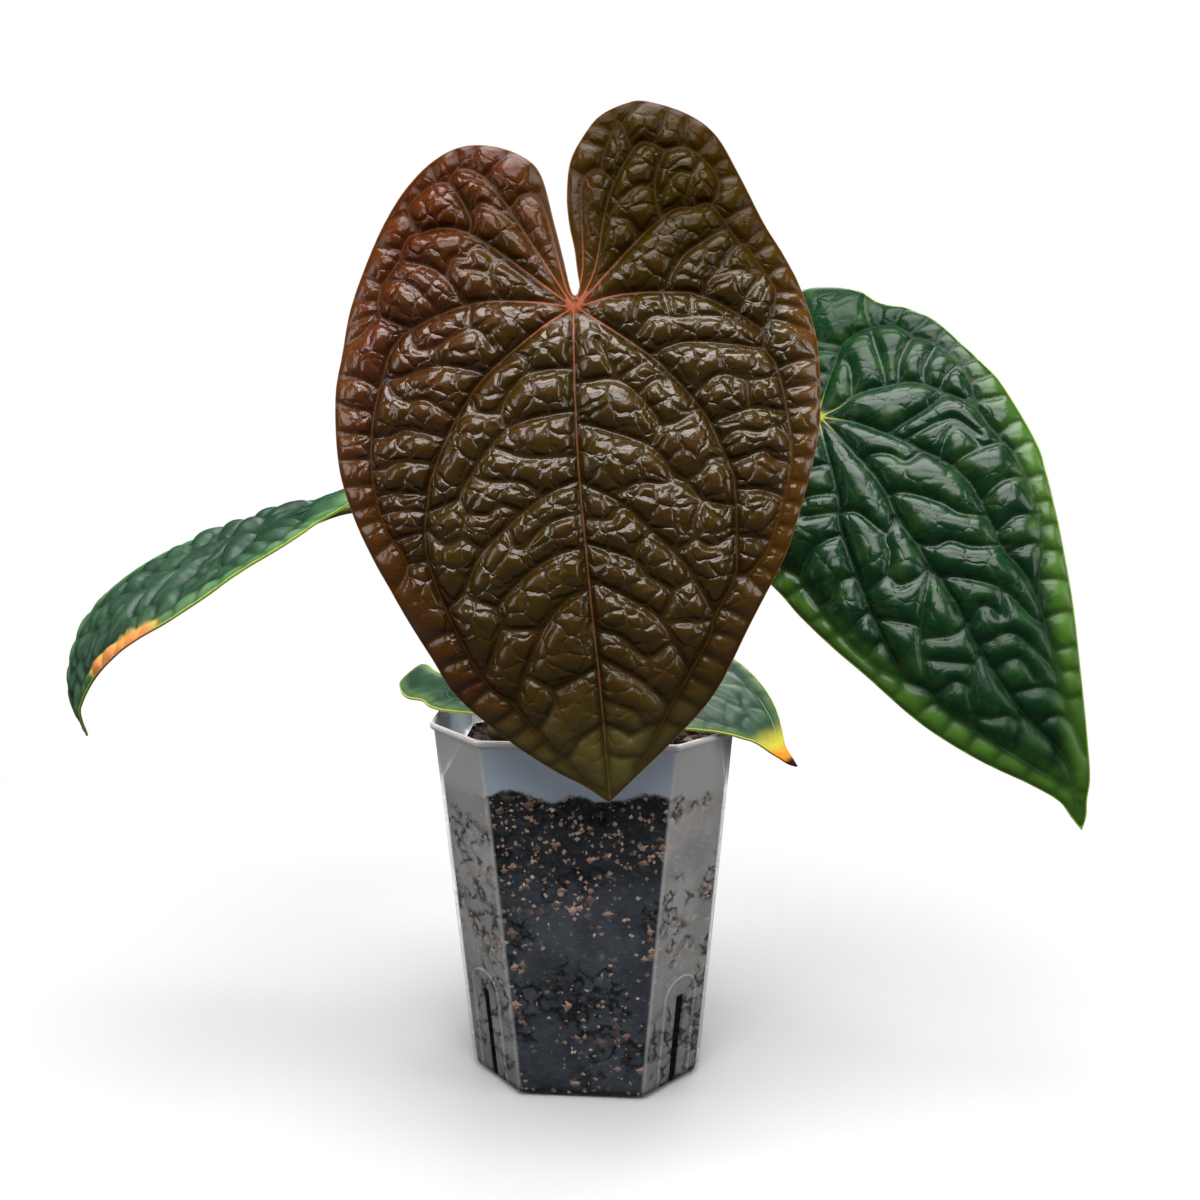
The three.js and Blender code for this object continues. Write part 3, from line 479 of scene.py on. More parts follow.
def chip_tree():
    """Geometry Nodes: broken flakes strewn on the upward faces, turned, scaled and shaded by chance."""
    tree = bpy.data.node_groups.new("chips on the mound", "GeometryNodeTree")
    for name, kind in (("Mound", "Geometry"), ("Density", "Float"), ("Long", "Float"), ("Seed", "Int"),
                       ("Material", "Material")):
        tree.interface.new_socket(name, in_out="INPUT", socket_type="NodeSocket" + kind)
    tree.interface.new_socket("Chips", in_out="OUTPUT", socket_type="NodeSocketGeometry")
    given = put(tree, "NodeGroupInput").outputs
    upward = axis_of(tree, put(tree, "GeometryNodeInputNormal").outputs[0], "Z")
    on_top = put(tree, "FunctionNodeCompare", {0: upward, 1: 0.6}, data_type="FLOAT",
                 operation="GREATER_THAN").outputs[0]
    spots = put(tree, "GeometryNodeDistributePointsOnFaces",
                {"Mesh": given["Mound"], "Selection": on_top, "Density": given["Density"],
                 "Seed": given["Seed"]})
    flake = put(tree, "GeometryNodeMeshIcoSphere", {"Radius": 0.5, "Subdivisions": 1})
    length, wide, thick, shade = (
        put(tree, "FunctionNodeRandomValue", {2: least, 3: most, "Seed": seed}, data_type="FLOAT").outputs[1]
        for least, most, seed in ((0.45, 1.4, 3), (0.35, 0.8, 4), (0.2, 0.5, 5), (0.0, 1.0, 7)))
    length = times(tree, length, given["Long"])
    size = put(tree, "ShaderNodeCombineXYZ",
               {0: length, 1: times(tree, length, wide), 2: times(tree, length, thick)}).outputs[0]
    lean = put(tree, "FunctionNodeRandomValue", {0: (-0.6, -0.6, 0.0), 1: (0.6, 0.6, 6.28), "Seed": 6},
               data_type="FLOAT_VECTOR").outputs[0]
    strewn = put(tree, "GeometryNodeInstanceOnPoints",
                 {"Points": spots.outputs["Points"], "Instance": flake.outputs["Mesh"], "Rotation": lean,
                  "Scale": size})
    marked = put(tree, "GeometryNodeStoreNamedAttribute",
                 {"Geometry": strewn.outputs[0], "Name": "shade", "Value": shade}, data_type="FLOAT",
                 domain="INSTANCE")
    whole = put(tree, "GeometryNodeRealizeInstances", {"Geometry": marked.outputs[0]})
    at = put(tree, "GeometryNodeInputPosition").outputs[0]
    crush = put(tree, "ShaderNodeTexNoise", {"Vector": at, "Scale": 230.0, "Detail": 2.0}).outputs["Color"]
    for how, amount in (("SUBTRACT", (0.5, 0.5, 0.5)), ("MULTIPLY", (0.005, 0.005, 0.003))):
        crush = put(tree, "ShaderNodeVectorMath", {0: crush, 1: amount}, operation=how).outputs[0]
    broken = put(tree, "GeometryNodeSetPosition", {"Geometry": whole.outputs[0], "Offset": crush})
    painted = put(tree, "GeometryNodeSetMaterial",
                  {"Geometry": broken.outputs[0], "Material": given["Material"]})
    put(tree, "NodeGroupOutput", {"Chips": painted.outputs[0]})
    return tree


def strew(name, mound, density, length, seed):
    """One piece of chips, so many to the square metre and about so long."""
    piece = new_object(name, mound.data.copy())
    chips = piece.modifiers.new("chips", "NODES")
    chips.node_group = CHIPS
    for label, value in (("Density", density), ("Long", length), ("Seed", seed), ("Material", chip_bark)):
        chips[socket_of(CHIPS, label)] = value
    return settle(piece)


CHIPS = chip_tree()
low_points = [(x * 0.93, y * 0.93, z) for x, y, z in soil_points[first:]]
low_faces = [tuple(i - first for i in f) for f in soil_faces if min(f) >= first and len(f) == 3]
mound_low = new_piece("mound", low_points, low_faces)
big_chips = strew("bark_chips", mound_low, 60000.0, 0.0085, 4)
small_chips = strew("bark_crumbs", mound_low, 170000.0, 0.0038, 9)
bpy.data.objects.remove(mound_low)
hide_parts("soil")
for piece in (soil, big_chips, small_chips):
    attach(piece, "root")


# Stem: a short ringed rhizome, green-brown with corky rings where old leaves were shed, rooted in the
# substrate's well. Three stout felted roots leave its side and dive into the bark.
STEM_TOP = 0.142
RING_HEIGHT = 0.005
ROOT_RADIUS = 1.9
turns = np.linspace(0, 2 * math.pi, 49)[:-1]
levels = [*np.linspace(0.106, STEM_TOP - 0.0015, 70), STEM_TOP - 0.0007, STEM_TOP - 0.0002, STEM_TOP - 0.0001]
stem_rings = []
for z in levels:
    swell = 0.0009 * abs(math.sin((z - 0.1) / RING_HEIGHT * math.pi)) ** 0.5
    top = max(0.0, (z - STEM_TOP + 0.0055) / 0.0054)
    size = (STEM_RADIUS - 0.0012 + swell) * (1 - 0.35 * top**3) * (1 if z < STEM_TOP - 0.0004 else 0.6)
    ring = []
    for a in turns:
        r = size * (1 + 0.05 * hills.noise(Vector((math.cos(a) * 2, math.sin(a) * 2, z * 300))))
        ring.append((STEM_AT.x + r * math.cos(a), STEM_AT.y + r * math.sin(a), z))
    stem_rings.append(ring)
stem = new_piece("rhizome", *skin(stem_rings, close_ends=True), 60)

cork, tree, shader = new_material("ringed stem")
place = put(tree, "ShaderNodeTexCoord").outputs["Object"]
level = axis_of(tree, place, "Z")
band = maths(tree, "ABSOLUTE", maths(tree, "SINE", times(tree, level, math.pi / RING_HEIGHT)))
streak = noise(tree, place, 260.0, 6.0)
colour = blend(tree, spread(tree, streak, 0.3, 0.7), rgb(86, 88, 48), rgb(122, 100, 66))
colour = blend(tree, spread(tree, band, 0.45, 0.1), colour, rgb(70, 52, 36))
coat(tree, shader, colour, 0.62, streak, 0.5, 0.0008)
stem.data.materials.append(cork)
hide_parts("stem")
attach(stem, "root")

felt, tree, shader = new_material("felted root")
place = put(tree, "ShaderNodeTexCoord").outputs["Object"]
fluff = noise(tree, place, 700.0, 5.0)
stain = spread(tree, noise(tree, place, 120.0, 3.0), 0.35, 0.65)
colour = blend(tree, stain, rgb(118, 98, 70), rgb(176, 160, 128))
colour = blend(tree, spread(tree, fluff, 0.35, 0.75), colour, rgb(96, 78, 56))
coat(tree, shader, colour, 0.9, fluff, 0.5, 0.0006)
ROOT_ROUTES = {
    "root_front": [(-29.5, -2.5, 137), (-26, -9, 140), (-20, -19, 136), (-16, -26, 126), (-15, -28, 117)],
    "root_side": [(-24.5, 10.5, 138), (-13, 16, 141), (-2, 19, 136), (5, 20, 127), (7, 20, 119)],
    "root_back": [(-37, 14.8, 138), (-41, 25, 139), (-43, 34, 134), (-43, 39, 125), (-43, 40, 118)],
}


def course_of(points, radius_at, spacing=1.2):
    """A smooth course in metres and the radius at each of its points."""
    line = evenly(points, spacing)
    run = along(line) / along(line)[-1]
    return [tuple(p / 1000) for p in line], [radius_at(f) / 1000 for f in run]


for name, route in ROOT_ROUTES.items():
    course = course_of(route, lambda f: ROOT_RADIUS * (1 + 0.06 * math.sin(f * 40)))
    root = strands(name + "_felt", [course], felt)
    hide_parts(name)
    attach(root, "root")


# The four blades are single sheets of leaf, about 0.8 mm thick here, puckered between a net of sunken veins.
# They are drawn flat, u across and v from the petiole's joint to the tip in mm, then bent into place.
LEAF_THICK = 0.8
VEIN_RIDGE = 0.3
JOINT_FLAT = 2


def leaf_sheet(rib, across, curl):
    """Returns place(u, v, height): flat leaf coordinates in mm to space in metres."""
    line = smooth_line(rib, 80)
    run = along(line)
    run -= run[80]
    tangent = np.gradient(line, run, axis=0)
    tangent /= np.linalg.norm(tangent, axis=1)[:, None]
    start, end = (np.array(a, float) for a in across)

    def place(u, v, height):
        inside = np.clip(v, run[0], run[-1])
        origin = np.stack([np.interp(inside, run, line[:, k]) for k in range(3)], axis=1)
        ahead = np.stack([np.interp(inside, run, tangent[:, k]) for k in range(3)], axis=1)
        ahead /= np.linalg.norm(ahead, axis=1)[:, None]
        origin += ahead * (v - inside)[:, None]
        f = np.clip(v / run[-1], -0.5, 1)[:, None]
        side = start * (1 - f) + end * f
        side -= ahead * np.sum(ahead * side, axis=1)[:, None]
        side /= np.linalg.norm(side, axis=1)[:, None]
        out = np.cross(ahead, side)
        curve = np.radians(curl[0] * (1 - f) + curl[1] * f) / 100
        turn = curve * u[:, None]
        lift = height[:, None]
        x = np.sin(turn) / curve + lift * np.sin(turn)
        z = (np.cos(turn) - 1) / curve + lift * np.cos(turn)
        return (origin + side * x + out * z) / 1000

    return place


def nearest(points, targets):
    """Distance from each flat point to the nearest target, and that target's number."""
    tree = KDTree(len(targets))
    for i, (x, y) in enumerate(targets):
        tree.insert((x, y, 0), i)
    tree.balance()
    found = [tree.find((x, y, 0)) for x, y in points]
    return np.array([f[2] for f in found]), np.array([f[1] for f in found])


def pillows(ring, lines, reach):
    """A puff field over the blade: nought on the lines and the margin, near one far from both."""
    cell = reach / 5
    low = ring.min(axis=0) - 4 * cell
    columns, rows = (np.ceil((ring.max(axis=0) - low) / cell) + 5).astype(int)
    grid = np.stack(np.meshgrid(np.arange(columns), np.arange(rows)), axis=-1).reshape(-1, 2) * cell + low
    free = inside_outline(grid, ring).reshape(rows, columns).astype(float)
    spots = np.round((np.vstack(lines) - low) / cell).astype(int)
    free[spots[:, 1], spots[:, 0]] = 0
    pull = (reach / cell) ** 2
    height = np.zeros((rows, columns))
    for _ in range(140):
        around = height[1:-1, :-2] + height[1:-1, 2:] + height[:-2, 1:-1] + height[2:, 1:-1]
        height[1:-1, 1:-1] = free[1:-1, 1:-1] * (1 + pull * around) / (1 + 4 * pull)

    def sample(p):
        x = (p - low) / cell
        base = np.floor(x).astype(int)
        f = x - base
        weights = [(1 - f) ** 3, 3 * f**3 - 6 * f**2 + 4, -3 * f**3 + 3 * f**2 + 3 * f + 1, f**3]
        total = np.zeros(len(p))
        for j in range(4):
            for i in range(4):
                corner = height[base[:, 1] + j - 1, base[:, 0] + i - 1]
                total += weights[i][:, 0] / 6 * weights[j][:, 1] / 6 * corner
        return total

    return sample


def margin_ribs(ring, inner, spacing, draw):
    """Short veins from the vein next to the margin out to the edge, about evenly spaced along it."""
    run = along(np.vstack([ring, ring[:1]]))[:-1]
    spots = np.arange(spacing, run[-1] - spacing, spacing)
    spots += draw.uniform(-0.18, 0.18, len(spots)) * spacing
    starts = ring[np.searchsorted(run, spots)]
    targets = np.vstack(inner)
    far, which = nearest(starts, targets)
    ribs = []
    for start, goal, reach in zip(starts, targets[which], far):
        if 5 < reach < 26:
            middle = (start + goal) / 2 + draw.uniform(-0.09, 0.09, 2) * reach
            ribs.append(evenly([start, middle, goal], 0.5))
            if reach > 9 and spacing < 8:
                fork = goal + (start - goal) * draw.uniform(0.35, 0.6) + draw.uniform(-0.5, 0.5, 2)
                aside = np.array([goal[1] - start[1], start[0] - goal[0]]) / reach
                ribs.append(evenly([fork, fork + aside * spacing * draw.choice([-0.45, 0.45])], 0.5))
    return ribs


def leaf_mesh(name, outline, ranks, puffs, sheet, spacing, rib_spacing, seed):
    """The blade as one closed mesh; vein, net and edge distances in mm are kept on its points."""
    draw = np.random.default_rng(seed)
    right, left = (evenly(side, spacing) for side in outline)
    ring = np.vstack([right[:-1], left[::-1][:-1]])
    lines = [[evenly(vein, 0.5) for vein in rank] for rank in ranks]
    lines = [[v[inside_outline(v, ring)] for v in rank] for rank in lines]
    lines = [[v for v in rank if len(v) > 1] for rank in lines]
    lines[1] = lines[1] + margin_ribs(ring, lines[0][1:], rib_spacing, draw)
    low, high = ring.min(axis=0), ring.max(axis=0)
    rows = np.arange(low[1], high[1], spacing * 0.866)
    columns = np.arange(low[0], high[0], spacing)
    lattice = np.array([(u + spacing / 2 * (i % 2), v) for i, v in enumerate(rows) for u in columns])
    lattice = lattice[inside_outline(lattice, ring)]
    edge_far, _ = nearest(lattice, ring)
    lattice = lattice[edge_far > spacing * 0.6]
    creases = [evenly(vein[::2], spacing) for vein in lines[0] + lines[1] + lines[2] if len(vein) > 3]
    creases = [vein[nearest(vein, ring)[0] > spacing * 0.5] for vein in creases]
    far, _ = nearest(lattice, np.vstack(creases))
    points = np.vstack([ring, lattice[far > spacing * 0.62]] + creases)
    count = len(ring)
    sides = [(i, (i + 1) % count) for i in range(count)]
    first = len(points) - sum(map(len, creases))
    for vein in creases:
        sides += [(first + i, first + i + 1) for i in range(len(vein) - 1)]
        first += len(vein)
    flat, _, triangles, *_ = delaunay_2d_cdt([Vector(p) for p in points], sides, [], 1, spacing * 0.12)
    flat = np.array([tuple(p) for p in flat])
    triangles = np.array(triangles)
    veins_far, _ = nearest(flat, np.vstack([evenly(vein, 0.12) for vein in lines[0]]))
    net_far, _ = nearest(flat, np.vstack([evenly(vein, 0.2) for vein in lines[1] + lines[2]]))
    edge_far, _ = nearest(flat, evenly(np.vstack([ring, ring[:1]]), 0.3))
    height = np.zeros(len(flat))
    for depth, (amount, reach) in enumerate(puffs):
        sample = pillows(ring, sum(lines[:depth + 1], []), reach)
        height += amount * sample(flat)
    shape = height / height.max()
    joint = np.clip((np.hypot(*flat.T) - JOINT_FLAT) / 9, 0, 1)
    height *= joint * np.clip(edge_far / 1.2, 0, 1) * (0.6 + 0.4 * np.clip(edge_far / 14, 0, 1))
    height += VEIN_RIDGE * np.exp(-(veins_far / 0.5) ** 2) * np.clip(edge_far / 3, 0, 1)
    half = np.full(len(flat), LEAF_THICK / 2)
    top = sheet(flat[:, 0], flat[:, 1], height + half)
    back = sheet(flat[:, 0], flat[:, 1], height - half)
    total = len(flat)
    rims = {}
    for a, b, c in triangles:
        for i, j in ((a, b), (b, c), (c, a)):
            if (j, i) in rims:
                del rims[(j, i)]
            else:
                rims[(i, j)] = True
    walls = [f for i, j in rims for f in ((i, j, j + total), (i, j + total, i + total))]
    faces = np.vstack([triangles[:, ::-1], triangles + total, np.array(walls)])
    mesh = bpy.data.meshes.new(name)
    mesh.from_pydata(np.vstack([top, back]), [], faces.tolist())
    rounded = np.ones(len(faces), bool)
    rounded[2 * len(triangles):] = False
    mesh.polygons.foreach_set("use_smooth", rounded)
    slots = np.zeros(len(faces), int)
    slots[len(triangles):2 * len(triangles)] = 1
    mesh.polygons.foreach_set("material_index", slots)
    for label, values in (("vein", veins_far), ("net", net_far), ("edge", edge_far), ("puff", shape)):
        layer = mesh.attributes.new(label, "FLOAT", "POINT")
        layer.data.foreach_set("value", np.tile(values, 2).astype(np.float32))
    flat_map = mesh.uv_layers.new(name="flat")
    corners = np.zeros(len(mesh.loops), int)
    mesh.loops.foreach_get("vertex_index", corners)
    flat_map.data.foreach_set("uv", (flat[corners % total] / 100).astype(np.float32).ravel())
    rim_set = {tuple(sorted(r)) for r in rims} | {(i + total, j + total) for i, j in map(sorted, rims)}
    ends = np.zeros(len(mesh.edges) * 2, int)
    mesh.edges.foreach_get("vertices", ends)
    sharp = [tuple(sorted(pair)) in rim_set for pair in ends.reshape(-1, 2).tolist()]
    mesh.edges.foreach_set("use_edge_sharp", sharp)
    return new_object(name, mesh)


def leaf_marks():
    """Shader group: masks and a relief, from the distances and places kept on a blade's points."""
    tree = bpy.data.node_groups.new("leaf marks", "ShaderNodeTree")
    for name, value in (("Vein Width", 1.0), ("Net Width", 0.7), ("Cell", 8.0)):
        tree.interface.new_socket(name, in_out="INPUT", socket_type="NodeSocketFloat").default_value = value
    for name in ("Vein", "Net", "Edge", "Joint", "Mottle", "Height", "Across", "Along", "Puff"):
        tree.interface.new_socket(name, in_out="OUTPUT", socket_type="NodeSocketFloat")
    given = put(tree, "NodeGroupInput").outputs
    read = {}
    for name in ("vein", "net", "edge", "puff"):
        read[name] = put(tree, "ShaderNodeAttribute", attribute_name=name).outputs["Fac"]
    flat = put(tree, "ShaderNodeUVMap", uv_map="flat").outputs[0]
    parts = put(tree, "ShaderNodeSeparateXYZ", {0: flat}).outputs
    joint = put(tree, "ShaderNodeVectorMath", {0: flat}, operation="LENGTH").outputs["Value"]
    joint = times(tree, joint, 100.0)
    vein = spread(tree, maths(tree, "DIVIDE", read["vein"], given["Vein Width"]), 1.0, 0.25)
    net = spread(tree, maths(tree, "DIVIDE", read["net"], given["Net Width"]), 1.0, 0.2)
    bent = warped(tree, flat, 12.0, 2.0, 0.06)
    pebble, fine = (
        put(tree, "ShaderNodeTexVoronoi",
            {"Vector": bent, "Scale": maths(tree, "DIVIDE", share, given["Cell"])},
            feature="DISTANCE_TO_EDGE").outputs["Distance"] for share in (100.0, 290.0))
    rise = spread(tree, pebble, 0.0, 0.34, soft=False)
    rise = times(tree, rise, maths(tree, "SUBTRACT", 2.0, rise))
    clear = maths(tree, "MINIMUM", maths(tree, "MINIMUM", read["vein"], read["net"]), read["edge"])
    rise = times(tree, rise, spread(tree, clear, 0.0, 2.2))
    rise = times(tree, rise, spread(tree, read["edge"], 4.0, 14.0, 0.25, 1.0))
    mottle = noise(tree, flat, 9.0, 5.0)
    lift = maths(tree, "ADD", rise, times(tree, spread(tree, fine, 0.0, 0.2), 0.03))
    lift = maths(tree, "ADD", lift, times(tree, noise(tree, flat, 22.0, 2.0), 0.06))
    put(tree, "NodeGroupOutput",
        {"Vein": vein, "Net": net, "Edge": read["edge"], "Joint": joint, "Mottle": mottle, "Height": lift,
         "Across": parts["X"], "Along": parts["Y"], "Puff": read["puff"]})
    return tree


MARKS = leaf_marks()


def marks_of(tree, marks):
    return put(tree, "ShaderNodeGroup", marks, node_tree=MARKS).outputs


def blade_material(name, look, marks, shine, relief):
    """The upper face of a blade. In look, where says how far the second colour takes over from body, deep is
    the painted shade of the valleys, extra paints what only this leaf shows (on the bronze leaf that includes
    painted shade and glow), and dull takes wax off."""
    material, tree, shader = new_material(name)
    out = marks_of(tree, marks)
    patchy = spread(tree, out["Mottle"], 0.25, 0.75, -0.22, 0.22)
    patchy = maths(tree, "ADD", look["where"](tree, out), patchy, clamp=True)
    colour = blend(tree, patchy, look["body"], look["second"])
    if "tip" in look:
        colour = blend(tree, spread(tree, out["Along"], 1.25, 1.7), colour, look["tip"])
    # Painted shade: the valleys between the puffs darken towards the deep colour.
    colour = blend(tree, spread(tree, out["Puff"], 0.0, 0.5, 0.55, 0.0), colour, look["deep"])
    colour = blend(tree, times(tree, out["Net"], look["net_amount"]), colour, look["veins"])
    heart = spread(tree, out["Joint"], look["heart_reach"], 3.0)
    line = blend(tree, heart, look["veins"], look["heart"])
    midrib = times(tree, spread(tree, maths(tree, "ABSOLUTE", out["Across"]), 0.06, 0.04),
                   spread(tree, out["Along"], 0.0, 0.05, 0.0, 0.85))
    strength = maths(tree, "MAXIMUM", spread(tree, out["Joint"], 45.0, 8.0, 0.2, 0.9), midrib)
    colour = blend(tree, times(tree, out["Vein"], strength), colour, line)
    colour = blend(tree, spread(tree, out["Joint"], 3.5, 0.5, 0.0, 0.7), colour, look["heart"])
    rim = spread(tree, out["Edge"], look["rim_width"], look["rim_width"] * 0.4)
    colour = blend(tree, rim, colour, look["edge"])
    if "extra" in look:
        colour = look["extra"](tree, out, colour)
    tree.links.new(colour, shader.inputs["Base Color"])
    rough = spread(tree, out["Mottle"], 0.3, 0.7, shine, shine + 0.08)
    rough = maths(tree, "ADD", rough, times(tree, out["Vein"], 0.15))
    rough = maths(tree, "ADD", rough, spread(tree, out["Along"], 0.8, 1.6, 0.0, 0.12))
    tree.links.new(rough, shader.inputs["Roughness"])
    shader.inputs["IOR"].default_value = 1.5
    # Wax lies on the puffs more than in the valleys, and thins out over the lobes and towards the tip.
    wax = times(tree, spread(tree, out["Puff"], 0.0, 0.25, 0.2, 1.0),
                spread(tree, out["Along"], -0.35, 0.15, 0.35, 1.0))
    wax = times(tree, wax, spread(tree, out["Along"], 0.8, 1.4, look["wax"], 0.6 * look["wax"]))
    if "dull" in look:
        wax = times(tree, wax, look["dull"](tree, out))
    tree.links.new(wax, shader.inputs["Specular IOR Level"])
    calm = times(tree, spread(tree, out["Along"], 0.8, 1.6, 1.0, 0.35), spread(tree, out["Edge"], 0.5, 5.0))
    bump = put(tree, "ShaderNodeBump", {"Height": out["Height"], "Strength": calm, "Distance": relief})
    tree.links.new(bump.outputs[0], shader.inputs["Normal"])
    return material


def underside_material(name, body, veins, reach):
    """The lower face: paler and duller, with the veins standing out light."""
    material, tree, shader = new_material(name)
    out = marks_of(tree, {"Vein Width": reach, "Net Width": reach * 0.6, "Cell": 3.5})
    mottle = spread(tree, out["Mottle"], 0.3, 0.7, 0.0, 0.35)
    colour = blend(tree, mottle, body, blend(tree, 0.6, body, veins))
    colour = blend(tree, times(tree, out["Net"], 0.5), colour, veins)
    colour = blend(tree, times(tree, out["Vein"], 0.9), colour, veins)
    coat(tree, shader, colour, 0.55, out["Vein"], 1.0, 0.0005)
    return material


# Bronze leaf: the newest blade, soft and glossy, red-brown on its upper left and olive elsewhere. Its outline
# and veins were picked on the photograph and laid flat in mm; the veins come in three ranks.
BRONZE_OUTLINE = (
    [(0.5, -4), (2, -6), (1, -13), (0, -20), (-2, -29), (-3, -39), (-2, -51), (3, -61), (8, -67), (16, -71),
     (23, -72), (37, -68), (47, -61), (55, -48), (64, -31), (71, -20), (77, -8), (82, 9), (83, 30), (81, 49),
     (73, 76), (66, 93), (53, 115), (41, 134), (29, 147), (10, 165), (0.5, 174)],
    [(0.5, -4), (-1, -6), (-4, -18), (-7, -29), (-12, -46), (-19, -53), (-30, -57), (-41, -57), (-51, -52),
     (-60, -43), (-67, -32), (-73, -19), (-79, -3), (-82, 11), (-85, 25), (-85, 48), (-81, 65), (-75, 80),
     (-68, 94), (-58, 114), (-50, 131), (-34, 148), (-19, 160), (-8, 167), (0.5, 174)],
)
BRONZE_VEINS = [
    [(0, 0), (0, 50), (1, 90), (1, 143), (1, 172)],
    [(0, 0), (-11, 7), (-29, 21), (-37, 30), (-43, 39), (-49, 51), (-52, 60), (-54, 82), (-42, 119),
     (-36, 129), (-30, 134), (-23, 145), (-7, 165)],
    [(0, 0), (-15, -2), (-35, -2), (-56, 5), (-62, 10), (-65, 15), (-71, 35), (-72, 54), (-69, 70), (-62, 83),
     (-68, 93)],
    [(0, 0), (-36, -26), (-54, -27), (-59, -24), (-61, -18), (-67, -10), (-68, -6), (-68, -2), (-66, 1),
     (-56, 5)],
    [(-36, -26), (-36, -32), (-44, -44), (-51, -43), (-58, -37), (-57, -32), (-54, -27)],
    [(0, 0), (-25, -38), (-30, -44), (-35, -48), (-40, -49), (-43, -47), (-44, -44)],
    [(0, -3), (-3, -8), (-11, -35), (-18, -39), (-22, -34)],
    [(1, 0), (25, 17), (38, 31), (44, 40), (47, 47), (51, 57), (52, 64), (51, 91), (47, 101), (42, 109),
     (39, 117), (24, 139), (16, 154), (11, 160)],
    [(1, 0), (16, -4), (36, -5), (42, -4), (51, 0), (63, 8), (64, 15), (68, 22), (71, 38), (72, 51), (70, 63),
     (63, 84), (59, 90), (54, 95), (50, 95)],
    [(1, 0), (29, -31), (40, -35), (46, -36), (55, -24), (58, -22), (67, -9), (68, -4), (66, 4), (63, 8)],
    [(29, -31), (27, -38), (27, -46), (30, -55)],
    [(1, 0), (7, -13), (10, -32), (13, -43), (20, -56), (25, -57), (30, -55), (37, -56), (45, -50), (48, -45),
     (48, -41), (46, -36)],
    [(1, -3), (3, -15), (2, -40), (5, -47), (9, -47), (13, -43)],
    [(9, -47), (9, -52), (14, -64), (18, -56)],
]
BRONZE_LATERALS = [
    [(-1, 35), (-23, 40), (-39, 58), (-41, 62), (-52, 66)],
    [(0, 58), (-14, 64), (-34, 80), (-42, 93), (-48, 98)],
    [(-1, 81), (-8, 82), (-19, 88), (-30, 98), (-30, 105), (-38, 122)],
    [(0, 95), (-6, 97), (-15, 106), (-24, 122), (-29, 134)],
    [(1, 122), (-14, 129), (-15, 134), (-22, 145)],
    [(1, 143), (-8, 148), (-11, 154), (-14, 157)],
    [(-1, 21), (-15, 22), (-21, 27), (-24, 31), (-25, 35), (-23, 40)],
    [(-66, 20), (-61, 21), (-46, 18), (-29, 21)],
    [(-71, 40), (-65, 40), (-58, 38), (-46, 41)],
    [(-71, 60), (-64, 59), (-52, 60)],
    [(-67, 75), (-53, 72)],
    [(-62, 83), (-54, 82)],
    [(-61, -18), (-50, -15), (-43, -10), (-37, -2)],
    [(1, 26), (15, 26), (25, 36), (28, 42)],
    [(1, 39), (24, 48), (32, 59), (36, 61), (41, 67), (52, 70)],
    [(1, 59), (14, 67), (30, 84), (36, 93), (42, 108)],
    [(1, 79), (17, 86), (20, 91), (28, 98), (24, 108)],
    [(1, 91), (14, 99), (24, 108), (32, 128)],
    [(1, 106), (3, 109), (10, 112), (18, 120), (26, 116)],
    [(1, 118), (14, 127), (21, 134), (24, 139)],
    [(1, 143), (7, 145), (10, 148), (15, 145), (21, 144)],
    [(25, 17), (38, 13), (64, 15)],
    [(45, 41), (58, 37), (71, 38)],
    [(50, 54), (54, 54), (62, 51), (65, 54), (72, 56)],
    [(53, 64), (62, 65), (69, 68)],
    [(52, 80), (64, 83)],
    [(55, -24), (51, -28), (42, -22), (36, -17), (29, -5)],
    [(55, -23), (45, -9), (43, -4)],
]
